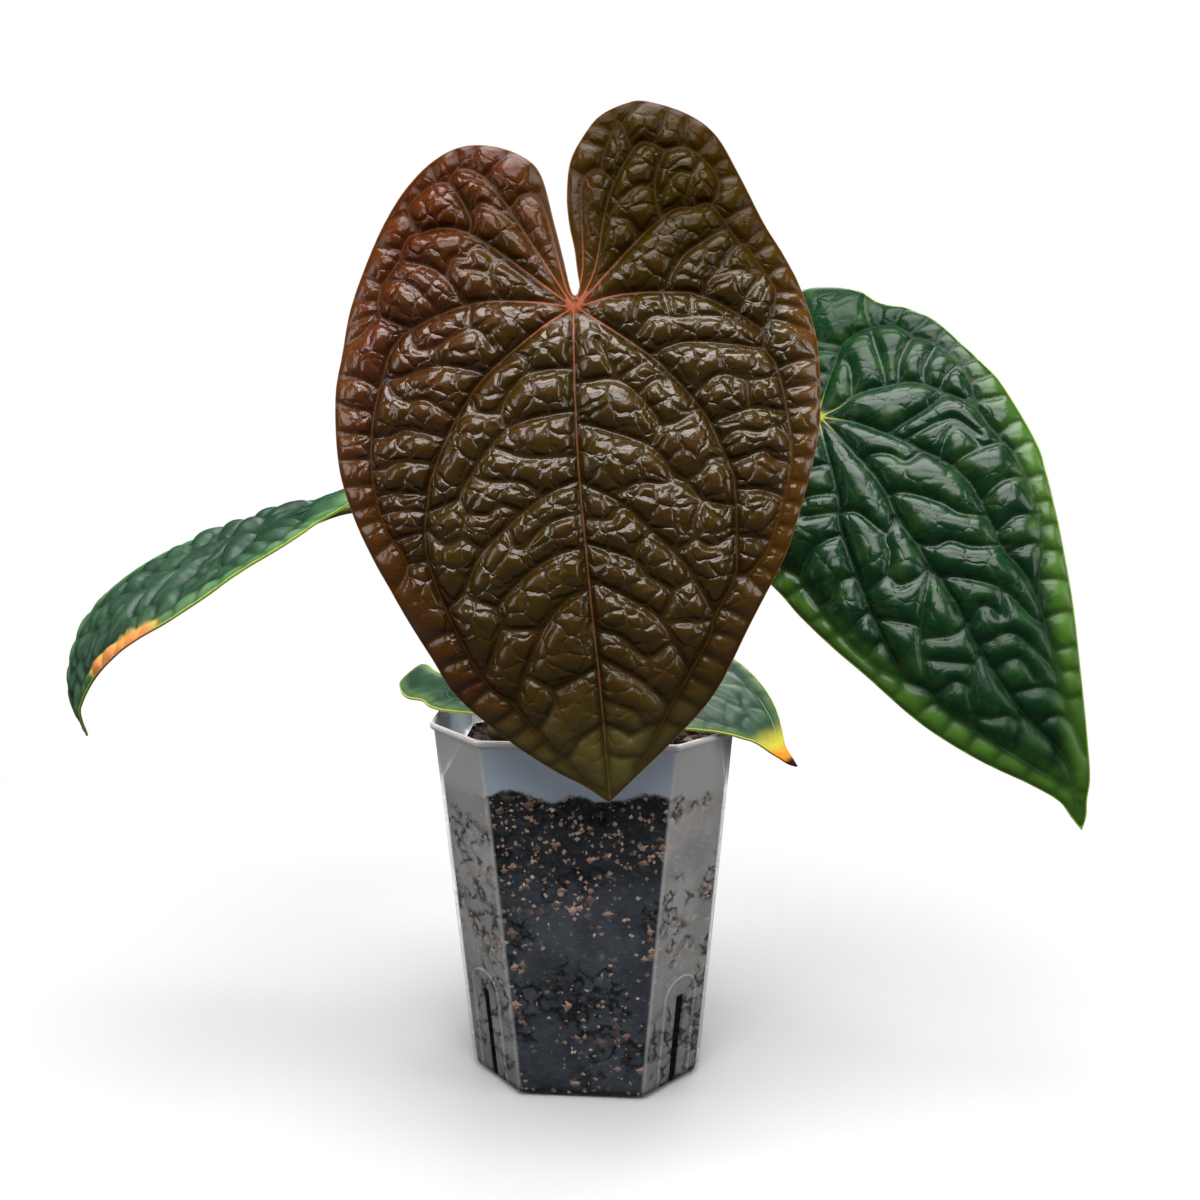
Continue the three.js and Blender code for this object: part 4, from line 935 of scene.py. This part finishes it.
BRONZE_RUNGS = [
    [(-66, -11), (-56, -9), (-46, 0)],
    [(-43, -12), (-41, -17), (-36, -17), (-32, -20), (-11, -6)],
    [(-29, -11), (-27, -16)],
    [(-24, -3), (-29, -11), (-36, -13)],
    [(-36, -32), (-31, -36), (-21, -29)],
    [(-56, 5), (-54, 12), (-47, 12), (-35, 7), (-31, 8), (-27, 13)],
    [(-35, 7), (-35, -2)],
    [(-47, 12), (-46, 18)],
    [(-65, 22), (-62, 26), (-57, 29), (-50, 29), (-41, 35)],
    [(-72, 51), (-66, 51), (-61, 49), (-49, 50)],
    [(-70, 66), (-61, 65), (-52, 66)],
    [(-15, 22), (-18, 16), (-27, 19)],
    [(-25, 35), (-33, 34), (-36, 30)],
    [(0, 50), (-16, 50), (-28, 46)],
    [(-36, 55), (-30, 57), (-19, 58), (-12, 63)],
    [(-41, 62), (-39, 67), (-40, 75), (-34, 79)],
    [(-39, 67), (-31, 68), (-27, 65), (-21, 67)],
    [(0, 69), (-11, 72), (-21, 80), (-25, 74)],
    [(-42, 94), (-30, 99)],
    [(-30, 106), (-16, 107)],
    [(-14, 129), (-24, 123)],
    [(-53, 72), (-47, 77), (-40, 75)],
    [(64, -13), (58, -12), (55, -13), (46, -10)],
    [(64, -13), (57, -3), (55, 3)],
    [(27, -41), (21, -41), (11, -32)],
    [(22, -23), (18, -29), (13, -30)],
    [(29, -39), (34, -46), (39, -46), (42, -52)],
    [(39, -46), (37, -34)],
    [(21, 10), (25, 5), (29, 4), (32, 5), (50, 4), (63, 9)],
    [(32, 5), (30, -4)],
    [(39, 5), (39, -4)],
    [(38, 32), (48, 25), (57, 27), (68, 26)],
    [(57, 27), (58, 37)],
    [(48, 47), (53, 44), (61, 45), (66, 43), (72, 48)],
    [(15, 26), (8, 12)],
    [(15, 25), (23, 20)],
    [(20, 31), (27, 26), (31, 28)],
    [(24, 48), (28, 42), (33, 41), (41, 36)],
    [(32, 59), (28, 61), (20, 60), (13, 63)],
    [(36, 60), (41, 57), (44, 53), (49, 54)],
    [(41, 67), (38, 72), (37, 77), (38, 80), (43, 83), (52, 79)],
    [(30, 84), (38, 80)],
    [(2, 71), (10, 72), (12, 69), (15, 68)],
    [(23, 77), (18, 81), (17, 85)],
    [(28, 98), (36, 94)],
    [(24, 108), (41, 110)],
    [(18, 120), (19, 126), (17, 130)],
    [(2, 134), (13, 139), (14, 146)],
    [(1, 154), (6, 156), (13, 156)],
]

bronze_sheet = leaf_sheet(
    [(0, -47, 374), (0, -66, 308), (2, -76, 262), (5, -80, 218), (9, -79, 178), (12, -74, 138)],
    [(1, 0, 0), (1, 0, 0)], (16, 16))
bronze = leaf_mesh("leaf_bronze", BRONZE_OUTLINE, [BRONZE_VEINS, BRONZE_LATERALS, BRONZE_RUNGS],
                   [(2.2, 6), (2.4, 5), (3.4, 3.5)], bronze_sheet, 0.85, 9.0, 21)


def reddish(tree, out):
    """The red-brown comes in over the upper left lobe and along the left margin."""
    lobe = times(tree, spread(tree, out["Across"], 0.1, -0.75), spread(tree, out["Along"], 0.9, -0.5))
    margin = times(tree, spread(tree, out["Edge"], 22.0, 4.0), spread(tree, out["Across"], 0.2, -0.3))
    return maths(tree, "ADD", lobe, times(tree, margin, 0.55), clamp=True)


def right_lobe(tree, out):
    return times(tree, spread(tree, out["Along"], 0.05, -0.3), spread(tree, out["Across"], -0.05, 0.1))


def lobe_shade_and_margin_glow(tree, out, colour):
    """Painted shade on the right lobe, and a painted orange-brown glow of light through the thinner margin.
    """
    colour = blend(tree, times(tree, right_lobe(tree, out), 0.45), colour, rgb(30, 22, 0))
    reach = times(tree, spread(tree, out["Edge"], 15.0, 2.0, 0.0, 0.45), spread(tree, out["Along"], 1.5, 0.7))
    reach = times(tree, reach, spread(tree, out["Along"], -0.4, 0.2, 0.2, 1.0))
    return blend(tree, reach, colour, rgb(104, 64, 14))


def matt_lobe(tree, out):
    return spread(tree, right_lobe(tree, out), 0.0, 1.0, 1.0, 0.4, soft=False)


# The extra paints shade on the right lobe and a glow through the margin; deep is the painted valley shade.
bronze_look = {
    "body": rgb(60, 43, 5), "second": rgb(82, 34, 11), "tip": rgb(98, 90, 42), "deep": rgb(16, 10, 2),
    "veins": rgb(128, 84, 50), "net_amount": 0.06, "heart": rgb(186, 94, 74), "heart_reach": 26.0,
    "edge": rgb(134, 84, 50), "rim_width": 0.5, "wax": 0.5, "where": reddish, "extra": lobe_shade_and_margin_glow,
    "dull": matt_lobe,
}
bronze_marks = {"Vein Width": 0.45, "Net Width": 0.3, "Cell": 7.5}
bronze_back = underside_material("bronze leaf back", rgb(112, 74, 50), rgb(176, 120, 88), 1.4)
bronze.data.materials.append(blade_material("bronze leaf face", bronze_look, bronze_marks, 0.16, 0.0009))
bronze.data.materials.append(bronze_back)
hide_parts("blade_bronze")
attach(bronze, "root")


# Green leaves: older blades of the same kind, firmer and dark green, paler towards a yellow-green margin. The
# left one has a dry orange patch on its near edge; the small one is grey-green with a burnt tip. All three
# use the right leaf's outline and veins, which were picked and laid flat like the bronze leaf's.
GREEN_OUTLINE = (
    [(0, -4), (3, -6), (6, -22), (10, -42), (15, -60), (22, -68), (33, -62), (42, -52), (46, -40), (54, -30),
     (60, -17), (63, 1), (65, 15), (66, 27), (64, 54), (61, 66), (57, 79), (53, 91), (44, 115), (34, 138),
     (24, 161), (18, 174), (13, 181), (10, 186), (6, 190)],
    [(0, -4), (-3, -6), (-6, -22), (-10, -42), (-15, -58), (-24, -66), (-36, -59), (-47, -42), (-56, -22),
     (-61, 4), (-60, 28), (-50, 55), (-46, 72), (-41, 88), (-35, 104), (-28, 124), (-22, 137), (-13, 152),
     (-2, 167), (4, 177), (5, 184), (6, 190)],
)
GREEN_VEINS = [
    [(0, 0), (2, 12), (4, 27), (6, 40), (5, 55), (6, 79), (7, 96), (6, 114), (8, 141), (13, 161),
     (12, 172), (8, 184)],
    [(0, 0), (13, 15), (32, 48), (34, 66), (32, 85), (34, 102), (28, 131), (24, 142), (20, 166)],
    [(23, -27), (32, -29), (40, -27), (46, -22), (49, -13), (55, -4), (57, 8), (56, 20), (52, 36), (54, 57),
     (51, 74), (46, 90), (38, 101), (32, 113)],
    [(-1, 1), (-10, 35), (-16, 49), (-22, 86), (-23, 112)],
    [(-39, 58), (-37, 80), (-30, 103), (-18, 119), (-17, 125), (-13, 135), (10, 176)],
    [(0, 0), (9, 1), (18, 0), (33, 5), (40, 10), (51, 28), (52, 36)],
    [(19, 23), (35, 22), (44, 20)],
    [(1, -1), (3, -5), (23, -27)],
    [(0, 0), (-10, 1), (-22, 1), (-33, 5), (-42, 14), (-47, 26), (-48, 38), (-39, 58)],
    [(-1, -1), (-3, -5), (-9, -12), (-22, -27), (-32, -29), (-40, -26), (-46, -20), (-54, 4),
     (-53, 20), (-48, 38)],
]
GREEN_LATERALS = [
    [(32, 48), (38, 47), (52, 48)],
    [(34, 66), (42, 63), (48, 63), (53, 65)],
    [(34, 79), (42, 77), (50, 80)],
    [(34, 88), (42, 89), (46, 91)],
    [(15, 0), (20, -11), (21, -18)],
    [(27, 3), (30, -1), (36, -26)],
    [(33, 5), (39, -5), (48, -13)],
    [(42, 12), (44, 5), (54, -4)],
    [(45, 17), (49, 13), (57, 9)],
    [(23, 29), (37, 30), (43, 32), (47, 42)],
    [(29, 44), (36, 37), (42, 35), (45, 46)],
    [(4, 29), (9, 28), (15, 32), (18, 38), (25, 37)],
    [(6, 46), (12, 49), (21, 59), (25, 66), (33, 72)],
    [(6, 68), (11, 73), (17, 74), (23, 80), (34, 85)],
    [(7, 84), (13, 88), (24, 99), (28, 113), (31, 118)],
    [(7, 112), (11, 114), (17, 114), (21, 118), (25, 131), (25, 138)],
    [(8, 134), (18, 137), (22, 140), (24, 145)],
    [(9, 150), (14, 148), (19, 149), (22, 155)],
    [(8, 105), (14, 101), (17, 103), (19, 108), (24, 99)],
    [(8, 124), (12, 123), (17, 125), (18, 134)],
    [(-12, 43), (-7, 47), (-2, 60), (4, 55)],
    [(-20, 76), (-10, 75), (-8, 80), (-1, 81), (6, 78)],
    [(-2, 60), (-4, 63), (-4, 67), (-10, 75)],
    [(6, 79), (-9, 99), (-17, 118), (-17, 122)],
    [(-22, 86), (-10, 96), (-10, 100)],
    [(7, 114), (-3, 125), (-10, 141)],
    [(-17, 121), (-14, 122), (-7, 121), (-4, 126)],
    [(-10, 102), (1, 106), (7, 104)],
    [(-13, 109), (2, 119)],
    [(-8, 134), (-3, 139), (2, 140), (5, 144)],
    [(8, 141), (-2, 155)],
    [(12, 158), (8, 164), (4, 167)],
    [(-12, 43), (-26, 37)],
    [(-16, 51), (-29, 51), (-39, 58)],
    [(-20, 69), (-27, 68), (-32, 72), (-38, 72)],
    [(-22, 83), (-35, 87)],
    [(-23, 95), (-32, 98)],
    [(-15, 0), (-20, -11), (-22, -22)],
    [(-27, 3), (-34, -14), (-36, -26)],
    [(-36, 8), (-41, -4), (-49, -13)],
    [(-44, 18), (-49, 11), (-55, 6)],
    [(-10, 35), (-22, 30), (-32, 33), (-47, 26)],
    [(-7, 22), (-20, 18), (-40, 13)],
]
LOBE_START = 5


def leaf_scaled(sideways, lengthwise, lobes, sinus=None):
    """The green leaf's outline and veins at another size; a negative sideways factor mirrors them."""
    def scaled(points):
        return [(u * sideways, v * (lobes if v < 0 else lengthwise)) for u, v in points]

    sides = [scaled(side) for side in GREEN_OUTLINE]
    if sinus:
        turn = math.copysign(1, sideways)
        sides = [[(0, -4)] + [(u * turn * hand, v) for u, v in sinus] + side[LOBE_START:]
                 for side, hand in zip(sides, (1, -1))]
    if sideways < 0:
        sides.reverse()
    return sides, [scaled(vein) for vein in GREEN_VEINS], [scaled(vein) for vein in GREEN_LATERALS]


def paler_margin(start, end, low=-1.0, high=-0.9):
    """The paler colour towards the margin, from low to high along the blade."""
    return lambda tree, out: times(tree, spread(tree, out["Edge"], start, end),
                                    spread(tree, out["Along"], low, high))


# deep is the painted shade of the valleys.
def green_look(body, second, deep, veins, edge, where, **more):
    look = {"body": body, "second": second, "deep": deep, "veins": veins, "edge": edge, "where": where,
            "net_amount": 0.12, "heart": rgb(150, 158, 62), "heart_reach": 14.0, "wax": 0.32,
            "rim_width": 0.7}
    return {**look, **more}


def dry_patch(tree, out, colour):
    """An orange-tan patch along part of the near edge, past the blade's middle; plain green at the joint."""
    colour = blend(tree, spread(tree, out["Joint"], 36.0, 22.0), colour, rgb(26, 54, 36))
    span = times(tree, spread(tree, out["Along"], 0.34, 0.52), spread(tree, out["Along"], 0.97, 0.80))
    ragged = maths(tree, "ADD", out["Edge"], times(tree, out["Mottle"], 5.0))
    near = times(tree, spread(tree, out["Across"], 0.1, 0.2), spread(tree, ragged, 12.5, 5.5))
    mask = times(tree, span, near)
    colour = blend(tree, spread(tree, mask, 0.1, 0.6), colour, rgb(178, 156, 78))
    return blend(tree, spread(tree, mask, 0.45, 0.9), colour, rgb(214, 138, 76))


def burnt_tip(tree, out, colour):
    """The drip tip turns yellow, then orange, then almost black."""
    reach = maths(tree, "ADD", out["Along"], times(tree, out["Mottle"], 0.06))
    reach = maths(tree, "ADD", reach, spread(tree, out["Across"], 0.2, -0.1, 0.0, 0.06))
    colour = blend(tree, spread(tree, reach, 1.15, 1.26), colour, rgb(206, 196, 70))
    colour = blend(tree, spread(tree, reach, 1.24, 1.30), colour, rgb(226, 142, 44))
    return blend(tree, spread(tree, reach, 1.30, 1.33), colour, rgb(52, 20, 10))


GREEN_LEAVES = {
    "right": dict(
        rib=[(69, 68, 310), (93, 20, 268), (112, -7, 236), (132, -28, 201), (154, -43, 163), (176, -52, 125)],
        across=[(0.86, 0, 0.51), (0.86, 0, 0.51)], curl=(12, 12), size=(1, 1, 1),
        spacing=0.88, ribs=11.0, seed=31, puffs=[(2.4, 6), (4.2, 4), (1.0, 2.2)],
        slot="green_leaf", shine=0.22, relief=0.0003,
        look=green_look(rgb(13, 46, 20), rgb(68, 106, 34), rgb(3, 16, 6), rgb(44, 84, 58),
                        rgb(128, 154, 58), paler_margin(13.0, 3.0, -0.2, 0.7))),
    "left": dict(
        rib=[(-98, 3, 236), (-133, -3, 223), (-152, -6, 214), (-181, -10, 199), (-197, -12, 187),
             (-208, -13, 173), (-214, -14, 155), (-210, -13, 137)],
        across=[(0.10, -1, -0.14), (0.90, -1, -0.28)], curl=(14, 8), size=(0.75, 0.68, 0.68),
        spacing=0.8, ribs=10.0, seed=32, puffs=[(1.8, 5), (6.0, 3.8), (0.4, 2.2)],
        slot="green_leaf", shine=0.38, relief=0.00012,
        look=green_look(rgb(36, 66, 46), rgb(88, 126, 80), rgb(6, 22, 14), rgb(60, 104, 62),
                        rgb(150, 172, 70), paler_margin(10.0, 1.0), extra=dry_patch,
                        heart=rgb(60, 104, 50), wax=0.3)),
    "small": dict(
        rib=[(-62, 13, 166), (-27, 0, 171), (18, -14, 172), (52, -23, 165), (71, -29, 156), (82, -34, 143)],
        across=[(0.33, 1, 0.36), (0.5, 1, 0.32)], curl=(-18, -6), size=(-0.76, 0.67, 0.75),
        spacing=0.85, ribs=8.5, seed=33, puffs=[(1.4, 5), (2.4, 4), (0.2, 2.0)],
        slot="grey_green_leaf", shine=0.36, relief=0.0001,
        sinus=[(9, -7), (14, -15), (15, -26), (11, -36), (5, -44), (5, -49)],
        look=green_look(rgb(46, 76, 56), rgb(104, 134, 84), rgb(20, 46, 32), rgb(110, 140, 104),
                        rgb(190, 205, 96), paler_margin(5.5, 0.3), extra=burnt_tip)),
}
GREEN_MARKS = {"Vein Width": 0.5, "Net Width": 0.35, "Cell": 10.0}
sheets = {"bronze": bronze_sheet}
for side, leaf in GREEN_LEAVES.items():
    outline, veins, laterals = leaf_scaled(*leaf["size"], leaf.get("sinus"))
    sheets[side] = leaf_sheet(leaf["rib"], leaf["across"], leaf["curl"])
    blade = leaf_mesh("leaf_" + side, outline, [veins, laterals, laterals[:1]], leaf["puffs"], sheets[side],
                      leaf["spacing"], leaf["ribs"], leaf["seed"])
    face = blade_material(f"{side} leaf face", leaf["look"], GREEN_MARKS, leaf["shine"], leaf["relief"])
    back = underside_material(f"{side} leaf back", rgb(104, 130, 80), rgb(150, 164, 104), 1.3)
    blade.data.materials.append(face)
    blade.data.materials.append(back)
    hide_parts("blade_" + side)
    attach(blade, "root")


# Petioles: smooth round stalks, green flushed with bronze. Each is swollen where it leaves the stem and again
# at the joint under the blade, which turns the blade to the light.
PETIOLES = {
    "bronze": [(-36, 1, 130.4), (-37.5, 0, 150), (-40, -1, 170), (-42, -8, 212), (-36, -22, 256),
               (-18, -42, 291)],
    "right": [(-33, 12, 130.4), (-34.5, 11, 150), (-37, 9, 170), (-31, 17, 200), (-8, 30, 224), (30, 42, 238),
              (62, 45, 245), (86, 39, 252)],
    "left": [(-39.5, 7.5, 130.4), (-42.5, 6.5, 150), (-46, 5, 170), (-54, 8, 204), (-72, 7, 226),
             (-95, 3, 231.6), (-115, 0, 226)],
    "small": [(-27, 4, 130.4), (-26, 5, 146), (-25.5, 4, 158)],
}
# The last two points of a stalk lie behind its blade's joint: across, along and height on the blade's sheet.
BEHIND_JOINT = {"bronze": (0, -3, -8), "right": (0, -3, -8), "left": (0, -7, -5), "small": (0, 0, -7)}
AT_JOINT = (0, 0, -1.3)


def petiole_radius(f):
    return 2.1 + 1.0 * max(0, 1 - f / 0.12) + 0.6 * max(0, (f - 0.93) / 0.07)


stalk, tree, shader = new_material("petiole skin")
place = put(tree, "ShaderNodeTexCoord").outputs["Object"]
streak = noise(tree, place, 150.0, 5.0)
flush = spread(tree, noise(tree, place, 22.0, 2.0), 0.4, 0.65)
colour = blend(tree, flush, rgb(84, 104, 48), rgb(112, 92, 52))
colour = blend(tree, spread(tree, streak, 0.45, 0.75), colour, rgb(58, 70, 36))
coat(tree, shader, colour, 0.38, streak, 0.3, 0.0003)

for side, route in PETIOLES.items():
    spots = [[np.array([float(c)]) for c in spot] for spot in (BEHIND_JOINT[side], AT_JOINT)]
    ends = [tuple(sheets[side](*spot)[0] * 1000) for spot in spots]
    petiole = strands(f"stalk_{side}", [course_of(route + ends, petiole_radius)], stalk, sides=16)
    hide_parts("petiole_" + side)
    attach(petiole, "root")


# Studio: a plain white floor that fades out into a white surround, soft lights overhead, in front, at both
# sides and behind, and the camera at the photograph's place. Floor and surround are dim to all but the
# camera, so that no white veil lies on the leaves.
FLOOR_RADIUS = 1.2
floor_turns = np.linspace(0, 2 * math.pi, 97)[:-1]
floor_points = [(FLOOR_RADIUS * math.cos(a), FLOOR_RADIUS * math.sin(a), -0.0002) for a in floor_turns]
floor = new_piece("studio_floor", floor_points, [tuple(range(len(floor_points)))])
paper, tree, shader = new_material("white paper")
place = put(tree, "ShaderNodeTexCoord").outputs["Object"]
far = put(tree, "ShaderNodeVectorMath", {0: place}, operation="LENGTH").outputs["Value"]
tree.links.new(spread(tree, far, 0.62, 0.12), shader.inputs["Alpha"])
seen = put(tree, "ShaderNodeLightPath").outputs["Is Camera Ray"]
tree.links.new(blend(tree, seen, (0.08, 0.08, 0.08, 1), (0.57, 0.57, 0.57, 1)), shader.inputs["Base Color"])
shader.inputs["Roughness"].default_value = 0.9
shader.inputs["Specular IOR Level"].default_value = 0.1
floor.data.materials.append(paper)

world = bpy.data.worlds.new("white surround")
bpy.context.scene.world = world
world.use_nodes = True
tree = world.node_tree
backdrop = tree.nodes["Background"]
seen = put(tree, "ShaderNodeLightPath").outputs["Is Camera Ray"]
tree.links.new(blend(tree, seen, (0.08, 0.085, 0.09, 1), (1, 1, 1, 1)), backdrop.inputs["Color"])
backdrop.inputs["Strength"].default_value = 1.0


def soft_light(name, at, aim, wide, high, watts):
    lamp = bpy.data.lights.new(name, "AREA")
    lamp.shape, lamp.size, lamp.size_y, lamp.energy = "RECTANGLE", wide, high, watts
    holder = new_object(name, lamp)
    holder.location = at
    holder.rotation_euler = (Vector(aim) - Vector(at)).to_track_quat("-Z", "Y").to_euler()


soft_light("overhead", (0.0, 0.0, 1.2), (0, 0, 0.15), 1.0, 0.7, 18)
soft_light("front", (0.0, -0.74, 1.15), (0, 0, 0.2), 1.1, 0.5, 13)
soft_light("left_side", (-1.1, -0.5, 0.6), (0, 0, 0.2), 0.5, 0.9, 4)
soft_light("right_side", (1.1, -0.4, 0.6), (0, 0, 0.2), 0.5, 0.9, 5)
soft_light("behind", (0.2, 1.0, 0.8), (0, 0, 0.15), 1.0, 0.6, 8)

HEADING, PITCH = math.radians(-3.74), math.radians(11.2)
camera = new_object("camera", bpy.data.cameras.new("camera"))
camera.location = (0.0358, -0.4787, 0.290)
camera.rotation_euler = (math.pi / 2 - PITCH, 0, -HEADING)
camera.data.lens = camera.data.sensor_width = 36
bpy.context.scene.camera = camera
bpy.context.scene.view_settings.view_transform = "Standard"
